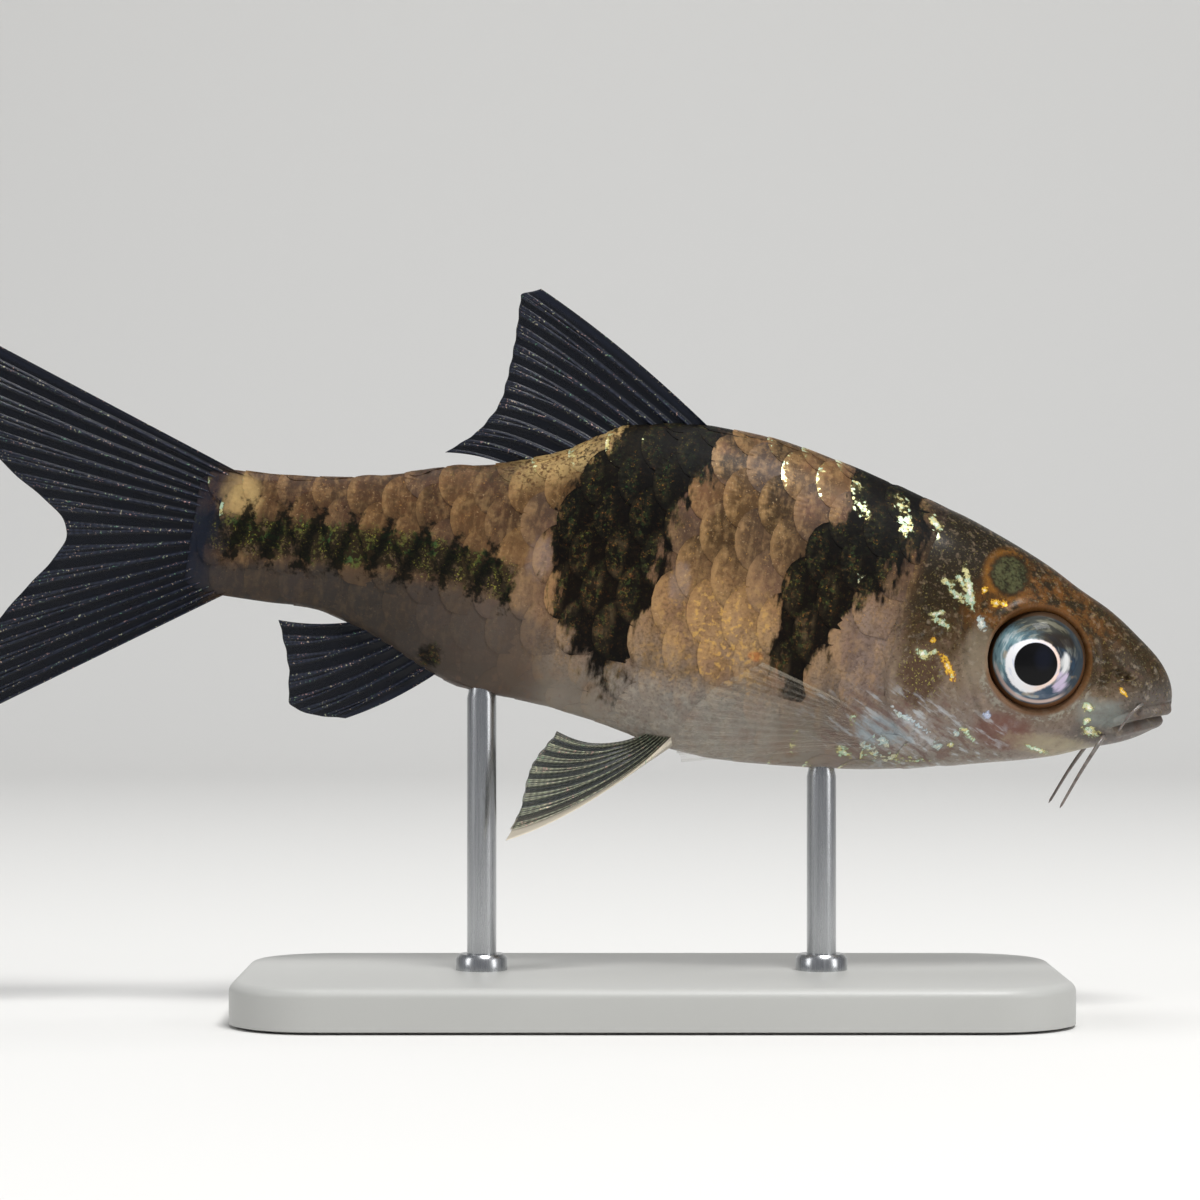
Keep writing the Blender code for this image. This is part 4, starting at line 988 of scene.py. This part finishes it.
def eye_finish():
    """Rings by distance from the eye's axis. The silver is brightest behind and under the pupil, where
    painted highlight arcs lie and a painted glare widens the bright ring; steely in front of it and olive
    over it, darkened there by painted shade, most under the brow; with mauve and gold clouds and a
    painted highlight on the lower rim."""
    made, wire, shader = new_finish("eye_silver")
    where = read(wire, "place")
    rearward, _, up = where.parts()
    reach = length(rearward, up)
    cloud, fine = noise(wire, where, 1.0, 2.0), noise(wire, where, 0.22, 2.0)
    bands = noise(wire, wire.vector(reach * 3.0, rearward * 0.7, up * 0.7), 0.9, 2.0)
    rear = (rearward + (cloud - 0.5) * 2.0).step(-1.2, 2.0)
    beneath = ((0 - up) + (cloud - 0.5) * 1.4).step(0.9, 2.3)
    mauve = round_patch(rearward, up, (-1.7, -1.3), (0.5, 0.8), (bands - 0.5) * 4.0)
    shade = (up + (fine - 0.5) * 0.9 - rearward * 0.2 + (bands - 0.5) * 1.5).step(0.6, 1.9)
    shade_tone = bands.step(0.46, 0.60).mix(paint(44, 42, 32), paint(96, 92, 74))
    frayed = (bands - 0.5) * 2.0 + rearward * 0.2
    brow_shade = round_patch(rearward, up, (-0.9, 1.35), (1.3, 0.42), frayed)
    before = round_patch(rearward, up, (-1.75, -0.1), (0.34, 0.7), (bands - 0.5) * 3.0)
    rim_shade = (reach - rearward * 0.14).step(2.72, 3.04)
    # A pale painted highlight along the lower rim of the iris
    lower_rim_highlight = reach.step(2.72, 2.84) * reach.step(3.02, 2.92) * ((0 - up) + rearward * 0.25).step(1.2, 2.2)
    iris = layered(
        rear.mix(paint(40, 50, 62), paint(120, 152, 160)),
        (beneath * 0.7, (94, 108, 128)),
        (bands.step(0.50, 0.64) * (0.2 + rear * 0.6), (200, 214, 218)),
        (bands.step(0.48, 0.36) * 0.55, (46, 70, 90)),
        (mauve * 0.8, (222, 206, 232)),
        (cloud.step(0.58, 0.70) * 0.6, (178, 156, 126)),
        (shade * 0.92, shade_tone),
        (brow_shade * 0.8, (38, 30, 24)),
        (before * 0.85, (238, 238, 236)),
        (rim_shade * 0.75, (52, 62, 70)),
        (lower_rim_highlight * 0.8, (222, 196, 186)),
    )
    bright_side = (rearward + (cloud - 0.5) * 2.0).step(-1.0, 1.2)
    ring = layered(
        bright_side.mix(paint(250, 222, 208), paint(250, 250, 252)),
        (bands.step(0.50, 0.64) * 0.5, (196, 206, 232)),
    )
    from_pupil = length(rearward - 0.2, up + 0.46)
    glare = (rearward * 0.6 - up * 0.25 + (cloud - 0.5) * 0.6).step(-0.1, 1.3) * 0.36
    past_ring = (from_pupil - glare + (fine - 0.5) * 0.12).step(1.58, 1.72)
    pupil = from_pupil.step(1.47, 1.41)
    # A faint painted blue reflection in the pupil
    blue = (rearward * rearward + 0.6 * up * up + 0.5 * rearward + 0.1).step(0.7, 0.0) * 0.8
    # Past the iris an amber ring, then a dark ring of painted socket shadow, wider at the top, and the black
    # pupil with its painted reflection
    colour = layered(
        past_ring.mix(ring, iris),
        (reach.step(3.0, 3.1), (96, 64, 38)),
        ((reach + up * 0.1).step(3.1, 3.22), (66, 48, 32)),
        (pupil, blue.mix(paint(3, 3, 5), paint(16, 20, 34))),
    )
    feed(wire, shader, Base_Color=colour, Metallic=0.12 * (1 - pupil), Roughness=0.46 + (fine - 0.5) * 0.2,
         Specular_IOR_Level=0.15, Coat_Weight=0.1, Coat_Roughness=0.03)
    return made


eye_paint = eye_finish()
for side, suffix in ((1, "left"), (-1, "right")):
    rings, around = 90, 120
    fall = np.linspace(0, math.pi, rings)[1:-1, None]
    turn = (np.arange(around) * 2 * math.pi / around)[None]
    ball = np.stack(np.broadcast_arrays(
        EYE_RADIUS * np.sin(fall) * np.cos(turn), EYE_DEPTH * np.cos(fall),
        EYE_RADIUS * np.sin(fall) * np.sin(turn)), axis=-1)
    quads, caps = ball_faces(*ball.shape[:2])
    local = with_ends(ball, np.array([(0, EYE_DEPTH, 0), (0, -EYE_DEPTH, 0)]))
    cos, sin = math.cos(EYE_TILT), math.sin(EYE_TILT)
    leant = local @ np.array([(1, 0, 0), (0, cos, sin), (0, -sin, cos)])
    middle_y = half_breadth(*map(np.array, EYE_PLACE)) - EYE_INSET
    placed = (leant + [EYE_PLACE[0], middle_y, EYE_PLACE[1]]) * [1, side, 1]
    # The unwrap: the outer half in a disc on the left of the map, the inner half on the right
    flat = local[:, [0, 2]] / (2 * EYE_RADIUS)
    eye_uv = [
        np.where(local[part][..., 1].mean(axis=1)[:, None, None] > 0, [0.25, 0.5], [0.75, 0.5])
        + flat[part] * 0.48
        for part in (quads, caps)
    ]
    eye = sew("eye_" + suffix + "_ball", in_model(placed), [quads, caps], eye_uv, place=local)
    eye.data.materials.append(eye_paint)
    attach(eye, "root")
    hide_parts("eye_" + suffix)

# The fins: thin webs held by bony rays that branch towards the edge. Each is a grid from its
# root line, sunk in the body, to its free edge, thickened along every ray and its branches.
WEB_HALF, RAY_HALF_ROOT, RAY_HALF_TIP = 0.05, 0.24, 0.07
EDGE_NOTCH = 0.08  # between two rays
FIRST_FORK, SECOND_FORK = 0.15, 0.07  # half the gap between branches, as a share of a ray's strip


def fin_grid(roots, tips, rays, bow, columns, rows, lead_width=0.3, sheath_half=0.32):
    """Middle points and half thickness of a fin, and where its rays are.

    A ray's branches sit at the middle of its strip and move apart with r, the share of the way
    to the edge. Its thickness is the highest of their bells. Between rays the edge is notched."""
    across = np.linspace(0, rays - 1, columns * (rays - 1) + 1)[:, None]
    strip = np.round(across)
    local = across - strip
    r = np.linspace(0, 1, rows)[None, :]
    first_fork = (strip > 0) * soft_step(0.38, 0.8, r) * FIRST_FORK
    second_fork = (strip > 0) * soft_step(0.66, 1.0, r) * SECOND_FORK
    width = 0.16 - 0.11 * soft_step(0.0, 0.9, r)
    ray = np.zeros(np.broadcast_shapes(across.shape, r.shape))
    for big in (-1, 1):
        for small in (-1, 1):
            ray = np.maximum(ray, bump(local - (big * first_fork + small * second_fork), width))
    u = across / (rays - 1)
    start, end = along(roots, u[:, 0])[:, None], along(tips, u[:, 0])[:, None]
    fin_length = np.linalg.norm(end - start, axis=-1)
    reach = (r * (1 - EDGE_NOTCH / fin_length * (1 - bump(local, 0.32))))[..., None]
    middle = start + (end - start) * reach + np.array(bow) * 4 * reach * (1 - reach)
    sheath = sheath_half * soft_step(0.3, 0.0, r)
    half = WEB_HALF + ray * (RAY_HALF_ROOT + (RAY_HALF_TIP - RAY_HALF_ROOT) * r) + sheath
    half = half * (1 - 0.6 * soft_step(0.93, 1.0, r))
    lead = soft_step(lead_width + 0.4, lead_width, across)
    return middle, half, np.stack(np.broadcast_arrays(ray, r, lead), axis=-1), u + 0 * r


def make_fin(name, nodes, grid, finish):
    """A fin from its grid: a left and a right face, and a rim between their edges."""
    middle, half, fin_marks, u = grid
    offset = normals_of(middle) * half[..., None]
    left, right = middle + offset, middle - offset
    size = half.size
    cell = np.arange(size).reshape(half.shape)
    face, edge = grid_faces(cell), border(cell)
    edge_next = np.roll(edge, -1)
    rim = np.stack([edge, edge + size, edge_next + size, edge_next], axis=-1)
    # The unwrap: the two faces side by side, and the rim in a strip beyond them
    flat = np.stack([u * 0.48 + 0.01, fin_marks[..., 1] * 0.94 + 0.01], axis=-1).reshape(-1, 2)
    step = np.arange(len(edge))[:, None] + np.array([[0, 0, 1, 1]])
    strip = np.stack(np.broadcast_arrays(step / len(edge), [[0.97, 0.99, 0.99, 0.97]]), axis=-1)
    made = sew(
        name, in_model(np.concatenate([left.reshape(-1, 3), right.reshape(-1, 3)])),
        [np.concatenate([face, face[:, ::-1] + size, rim])],
        [np.concatenate([flat[face], flat[face[:, ::-1]] + [0.5, 0], strip])],
        place=np.tile(middle.reshape(-1, 3), (2, 1)), fin=np.tile(fin_marks.reshape(-1, 3), (2, 1)),
    )
    made.data.materials.append(finish)
    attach(made, "root")
    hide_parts(*nodes)
    return made


def fin_finish(name, web, ray_tone, lead_tone, foot_tone, alphas, sparkle):
    """A see-through web that thins out to its edge, lighter jointed rays, and pale glints on them.
    The colours are those of web, rays, leading edge and foot, and the alphas those of the web at
    its foot and at its edge, and of the rays."""
    made, wire, shader = new_finish(name)
    web_alpha, edge_alpha, ray_alpha = alphas
    place = read(wire, "place")
    ray, reach, lead = read(wire, "fin").parts()
    cloud, fine = noise(wire, place, 1.6), noise(wire, place, 0.16, 1.0)
    joints = (reach * 150.0).sum("SINE", reach * 150.0) * ray
    ground = paint(*web)
    lighter = tuple(min(1.0, 1.8 * part) for part in ground)
    pale = (fine + cloud * 0.3).step(0.76, 0.86) * ray * sparkle
    pale_tone = noise(wire, place, 0.9, 1.0).ramp(
        (0.36, (120, 176, 140)), (0.48, (226, 222, 184)), (0.62, (226, 176, 168)))
    foot = (reach + (fine - 0.5) * 0.10 + ray * 0.03).step(0.10, 0.0)
    colour = layered(
        (cloud.step(0.3, 0.7) * 0.5).mix(ground, lighter),
        (ray * (0.5 + 0.2 * joints), ray_tone),
        (lead * (0.55 + 0.45 * ray), lead_tone),
        (pale, pale_tone),
        (foot * 0.9, foot_tone),
    )
    alpha = web_alpha + (edge_alpha - web_alpha) * reach + (cloud - 0.5) * 0.1
    alpha = alpha.most((ray + lead).step(0.1, 0.9) * ray_alpha).most(pale * 0.9)
    alpha = alpha.most(reach.step(0.25, 0.05) * (0.3 + ray_alpha * 0.6))
    feed(
        wire, shader, Base_Color=colour, Alpha=alpha, Roughness=0.36 + fine * 0.1,
        Metallic=pale * 0.4, Normal=bumpy(wire, 0.4, 0.00004, joints * 0.5 + fine),
        Specular_IOR_Level=0.18, Coat_Weight=0.08, Coat_Roughness=0.12,
    )
    return made


dusky = fin_finish(
    "dusky_web", (7, 10, 18), (56, 61, 78), (33, 37, 50), (84, 66, 48), (0.98, 0.92, 0.985), 0.7)
make_fin("dorsal_fin_web", ["dorsal_fin"], fin_grid(
    ((33.0, 0, 12.1), (39.2, 0, 11.0), (45.0, 0, 7.4)),
    ((46.9, 0, 20.3), (48.2, 0, 19.6), (48.1, 0, 16.5), (48.3, 0, 12.8), (49.4, 0, 10.3), (51.5, 0, 8.25)),
    12, (0, 0, 0.45), 22, 60), dusky)
make_fin("anal_fin_web", ["anal_fin"], fin_grid(
    ((49.0, 0, -6.1), (51.0, 0, -5.2), (54.3, 0, -3.6)),
    ((55.2, 0, -10.7), (57.2, 0, -10.85), (59.1, 0, -10.4), (59.6, 0, -8.0), (60.8, 0, -4.85)),
    8, (0, 0, -0.35), 22, 50), dusky)
make_fin("caudal_fin_web", ["caudal_fin_upper", "caudal_fin_lower"], fin_grid(
    ((64.5, 0, 4.4), (65.2, 0, 2.0), (65.4, 0, 0.4), (65.2, 0, -1.2), (64.5, 0, -3.6)),
    ((91.0, 0, 13.2), (86.0, 0, 7.0), (81.2, 0, 2.7), (76.0, 0, -1.5), (78.8, 0, -6.6),
     (82.2, 0, -12.2), (85.8, 0, -18.8)),
    19, (0, 0, 0), 20, 70, sheath_half=0.06), dusky)
clear_web = fin_finish(
    "clear_web", (146, 138, 126), (186, 178, 162), (200, 190, 170), (140, 126, 112), (0.07, 0.04, 0.2), 0.3)
bright_web = fin_finish(
    "bright_web", (24, 30, 31), (196, 198, 168), (252, 240, 218), (150, 140, 124), (0.66, 0.46, 0.92), 1.0)
for side, suffix in ((1, "left"), (-1, "right")):
    make_fin("pectoral_fin_" + suffix + "_web", ["pectoral_fin_" + suffix], fin_grid(
        ((18.6, side * 2.4, -5.0), (18.3, side * 2.1, -5.5), (18.1, side * 1.7, -6.0)),
        ((28.2, side * 7.3, -2.2), (31.6, side * 7.9, -5.0), (33.0, side * 7.8, -8.2),
         (32.4, side * 7.2, -9.6)),
        14, (0, side * 0.35, 0), 14, 44), clear_web)
    make_fin("pelvic_fin_" + suffix + "_web", ["pelvic_fin_" + suffix], fin_grid(
        ((32.4, side * 1.3, -7.7), (33.2, side * 1.1, -7.9), (34.0, side * 0.9, -8.0)),
        ((43.0, side * 6.0, -16.7), (42.4, side * 5.6, -14.6), (42.3, side * 4.8, -12.4),
         (40.9, side * 3.2, -9.3)),
        9, (0, 0, -0.95), 22, 50, lead_width=0.55), bright_web)


# The barbels: soft, tapering feelers, a short pair beside the snout and a longer pair at the
# corners of the mouth, rooted in the skin.
def tube(path, radii, sides):
    """Rings round a path: two directions square to it, turned through a circle."""
    forward = np.gradient(path, axis=0)
    forward /= np.linalg.norm(forward, axis=1, keepdims=True)
    first = np.cross(forward, [0, 1, 0])
    first /= np.linalg.norm(first, axis=1, keepdims=True)
    second = np.cross(forward, first)
    turn = np.arange(sides) * 2 * math.pi / sides
    ring = first[:, None] * np.cos(turn)[:, None] + second[:, None] * np.sin(turn)[:, None]
    return path[:, None] + ring * np.asarray(radii)[:, None, None]


def tube_faces(count, sides):
    """Faces of rings that close on themselves, and one flat face over each end."""
    cell = np.arange(count * sides).reshape(count, sides)
    beyond = np.roll(cell, -1, axis=1)
    quads = np.stack([cell[:-1], beyond[:-1], beyond[1:], cell[1:]], axis=-1).reshape(-1, 4)
    return [quads, cell[:1, ::-1], cell[-1:]]


def barbel_finish():
    """Soft grey skin, paler in clouds."""
    made, wire, shader = new_finish("barbel_skin")
    cloud = noise(wire, read(wire, "place"), 0.5)
    feed(
        wire, shader, Base_Color=cloud.ramp((0.35, (84, 79, 74)), (0.65, (120, 113, 106))),
        Roughness=0.35 + cloud * 0.1, Normal=bumpy(wire, 0.3, 0.00004, cloud),
        Coat_Weight=0.5, Subsurface_Weight=0.1, Subsurface_Scale=0.0008,
    )
    return made


barbel_paint = barbel_finish()
# The name's stem, the radius at the root, and the path's points as (s, y, z)
BARBELS = (
    ("barbel_rostral_", 0.15, ((2.0, 1.0, -0.7), (2.4, 2.6, -0.9), (3.1, 3.1, -1.7), (3.7, 3.3, -2.9))),
    ("barbel_maxillary_", 0.19, ((4.1, 0.9, -2.9), (4.6, 2.2, -3.7), (5.6, 2.9, -5.8), (6.7, 3.2, -8.6))),
)
barbel_rings, barbel_sides = 60, 20
share = np.linspace(0, 1, barbel_rings)
taper = (1 - 0.55 * share**0.7) * (1 - 0.8 * soft_step(0.96, 1.0, share))
for stem, thick, points in BARBELS:
    for side, suffix in ((1, "left"), (-1, "right")):
        rings = tube(along(points, share) * [1, side, 1], thick * taper, barbel_sides)
        rings = rings.reshape(-1, 3)
        barbel = sew(stem + suffix + "_skin", in_model(rings), tube_faces(barbel_rings, barbel_sides),
                     place=rings)
        barbel.data.materials.append(barbel_paint)
        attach(barbel, "root")
        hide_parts(stem + suffix)

# The stand: a flat base of light grey lacquer with softened edges, and two polished steel rods
# from sockets in it up to the belly, each through a small steel collar.
base_low, base_high = (np.array(corner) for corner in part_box("stand_base"))
BASE_CORNER, BASE_EDGE = 0.006, 0.0007  # radii, in metres as all of the stand


def base_points():
    """A rounded rectangle's outline, carried up a profile whose corners are quarter circles."""
    middle, half = (base_low + base_high) / 2, (base_high - base_low) / 2
    height = base_high[2] - base_low[2]
    arc = np.linspace(0, math.pi / 2, 17)
    outline, normal = [], []
    for i, (sign_x, sign_y) in enumerate(((1, 1), (-1, 1), (-1, -1), (1, -1))):
        direction = np.stack([np.cos(arc + i * math.pi / 2), np.sin(arc + i * math.pi / 2)], axis=-1)
        corner = [sign_x * (half[0] - BASE_CORNER), sign_y * (half[1] - BASE_CORNER)]
        outline.append(corner + BASE_CORNER * direction)
        normal.append(direction)
    outline, normal = np.concatenate(outline), np.concatenate(normal)
    bend = np.linspace(0, math.pi / 2, 9)
    inset = np.concatenate([
        [half[1] * 0.5, 0.0008, 0.0], BASE_EDGE * (1 - np.cos(bend)), [0.0015, 0.004, half[1] * 0.5]])
    level = np.concatenate([
        [0, 0, 0.0002], height - BASE_EDGE + BASE_EDGE * np.sin(bend), [height, height, height]])
    rings = outline[None] - normal[None] * np.minimum(inset, BASE_CORNER * 0.95)[:, None, None]
    shrink = np.where(inset > BASE_CORNER, 0.4, 1.0)[:, None, None]
    rings = rings * shrink + middle[:2]
    levels = np.broadcast_to(level[:, None, None] + base_low[2], rings.shape[:2] + (1,))
    return np.concatenate([rings, levels], axis=-1)


def lacquer_finish():
    """Light grey, with faint clouds and a fine grain."""
    made, wire, shader = new_finish("grey_lacquer")
    where = wire.node("ShaderNodeTexCoord", None, None, 3)
    fine, broad = noise(wire, where, 1 / 3500, 2.0, 0.5), noise(wire, where, 1 / 60, 3.0, 0.5)
    feed(wire, shader, Base_Color=(broad * 0.5 + 0.2).mix(paint(176, 176, 172), paint(196, 196, 192)),
         Roughness=0.34 + broad * 0.16, Normal=bumpy(wire, 0.15, 0.00003, fine))
    return made


def steel_finish():
    """Polished steel with fine upright brushing."""
    made, wire, shader = new_finish("polished_steel")
    x, y, z = wire.node("ShaderNodeTexCoord", None, None, 3).parts()
    brushing = noise(wire, wire.vector(x, y, z * 0.02), 1 / 9000, 2.0, 0.5)
    feed(wire, shader, Base_Color=brushing.mix(paint(176, 178, 180), paint(200, 201, 202)),
         Metallic=1.0, Roughness=0.2 + brushing * 0.14, Normal=bumpy(wire, 0.1, 0.00001, brushing))
    return made


rings = base_points()
base = sew("stand_base_plate", rings.reshape(-1, 3), tube_faces(*rings.shape[:2]))
base.data.set_sharp_from_angle(angle=math.radians(50))
base.data.materials.append(lacquer_finish())
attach(base, "root")
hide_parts("stand_base")
steel = steel_finish()


def upright_tube(x, levels, radii):
    """A round rod or collar on the stand's middle line, from its levels and its radius at each."""
    levels = np.array(levels)
    return tube(np.stack([np.full(len(levels), x), 0 * levels, levels], axis=-1), radii, 48)


for name in ("stand_rod_front", "stand_rod_back"):
    low, high = (np.array(corner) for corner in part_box(name))
    x, radius = (low[0] + high[0]) / 2, (high[0] - low[0]) / 2
    rod_shape = upright_tube(
        x, [low[2], high[2] - 0.0004, high[2] + 0.0006], [radius, radius, radius * 0.8])
    collar_shape = upright_tube(
        x, base_high[2] + np.array([-0.0002, 0.0, 0.0008, 0.0011]),
        np.array([1.55, 1.75, 1.75, 1.5]) * radius)
    for piece_name, shape in ((name + "_steel", rod_shape), (name + "_collar", collar_shape)):
        rod = sew(piece_name, shape.reshape(-1, 3), tube_faces(*shape.shape[:2]))
        rod.data.set_sharp_from_angle(angle=math.radians(40))
        rod.data.materials.append(steel)
        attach(rod, "root")
        if shape is rod_shape:
            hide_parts(name)

# The studio: a pale paper sweep under and behind the model, soft boxes over and beside it, and
# the camera level with the fish, square to its right side.
PIXEL = 0.068 * MM  # of the photo, at the fish
PHOTO_SIZE = 1200
FISH_MIDDLE = (693.5, 617)  # where the photo shows the point half way along the fish's axis
CAMERA_DISTANCE = 0.26
# Where the paper starts before the model and bends up behind it, its bend and its extent
SWEEP_NEAR, SWEEP_BEND, SWEEP_RADIUS, SWEEP_HEIGHT, SWEEP_HALF_WIDTH = -1.2, 0.36, 0.15, 1.6, 1.6


def sweep_points():
    """A floor that bends up into a wall through a quarter circle, far wider than the model."""
    bend = np.linspace(0, math.pi / 2, 24)
    y = np.concatenate([
        [SWEEP_NEAR, SWEEP_BEND], SWEEP_BEND + SWEEP_RADIUS * np.sin(bend), [SWEEP_BEND + SWEEP_RADIUS]])
    z = np.concatenate([[0.0, 0.0], SWEEP_RADIUS * (1 - np.cos(bend)), [SWEEP_HEIGHT]])
    x = np.linspace(-SWEEP_HALF_WIDTH, SWEEP_HALF_WIDTH, 9)
    return np.stack(np.broadcast_arrays(x[:, None], y[None], z[None] - 0.00001), axis=-1)


sweep = sweep_points()
sweep_faces = grid_faces(np.arange(sweep[..., 0].size).reshape(sweep.shape[:2]))
sweep_mesh = bpy.data.meshes.new("paper_sweep")
sweep_mesh.from_pydata(sweep.reshape(-1, 3).tolist(), [], sweep_faces.tolist())
sweep_mesh.shade_smooth()
paper = bpy.data.objects.new("paper_sweep", sweep_mesh)
bpy.context.scene.collection.objects.link(paper)
paper_finish, wire, shader = new_finish("pale_paper")
feed(wire, shader, Base_Color=(*paint(227, 226, 223), 1), Roughness=0.9)
paper.data.materials.append(paper_finish)
paper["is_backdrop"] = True

fish_middle = in_model([BODY_LENGTH / 2, 0.0, 0.0])


def add_light(name, place, size, power):
    """A soft box that faces the fish's middle, from a place given from there."""
    lamp = bpy.data.lights.new(name, "AREA")
    lamp.shape = "RECTANGLE"
    lamp.size, lamp.size_y = size
    lamp.energy = power
    holder = bpy.data.objects.new(name, lamp)
    bpy.context.scene.collection.objects.link(holder)
    holder.location = Vector(fish_middle) + Vector(place)
    holder.rotation_mode = "QUATERNION"
    holder.rotation_quaternion = (-Vector(place)).to_track_quat("-Z", "Y")


add_light("key_box", (0.12, -0.22, 0.46), (0.20, 0.14), 2.3)
add_light("top_box", (-0.05, 0.10, 0.50), (0.40, 0.30), 0.9)
add_light("side_box", (0.42, -0.24, 0.16), (0.16, 0.24), 0.35)
add_light("far_box", (-0.45, -0.20, 0.22), (0.16, 0.24), 0.35)
world = bpy.data.worlds.new("studio")
bpy.context.scene.world = world
world.use_nodes = True
sky = world.node_tree.nodes["Background"]
sky.inputs["Color"].default_value = (0.9, 0.93, 1.0, 1)
sky.inputs["Strength"].default_value = 0.25

lens = bpy.data.cameras.new("camera")
lens.sensor_width = 36.0
lens.lens = lens.sensor_width * CAMERA_DISTANCE / (PHOTO_SIZE * PIXEL)
lens.clip_start, lens.clip_end = 0.01, 10.0
camera = bpy.data.objects.new("camera", lens)
bpy.context.scene.collection.objects.link(camera)
camera.location = (
    fish_middle[0] + (PHOTO_SIZE / 2 - FISH_MIDDLE[0]) * PIXEL,
    -CAMERA_DISTANCE,
    fish_middle[2] - (PHOTO_SIZE / 2 - FISH_MIDDLE[1]) * PIXEL,
)
camera.rotation_euler = (math.pi / 2, 0, 0)
bpy.context.scene.camera = camera
bpy.context.scene.view_settings.view_transform = "Standard"

low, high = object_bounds()
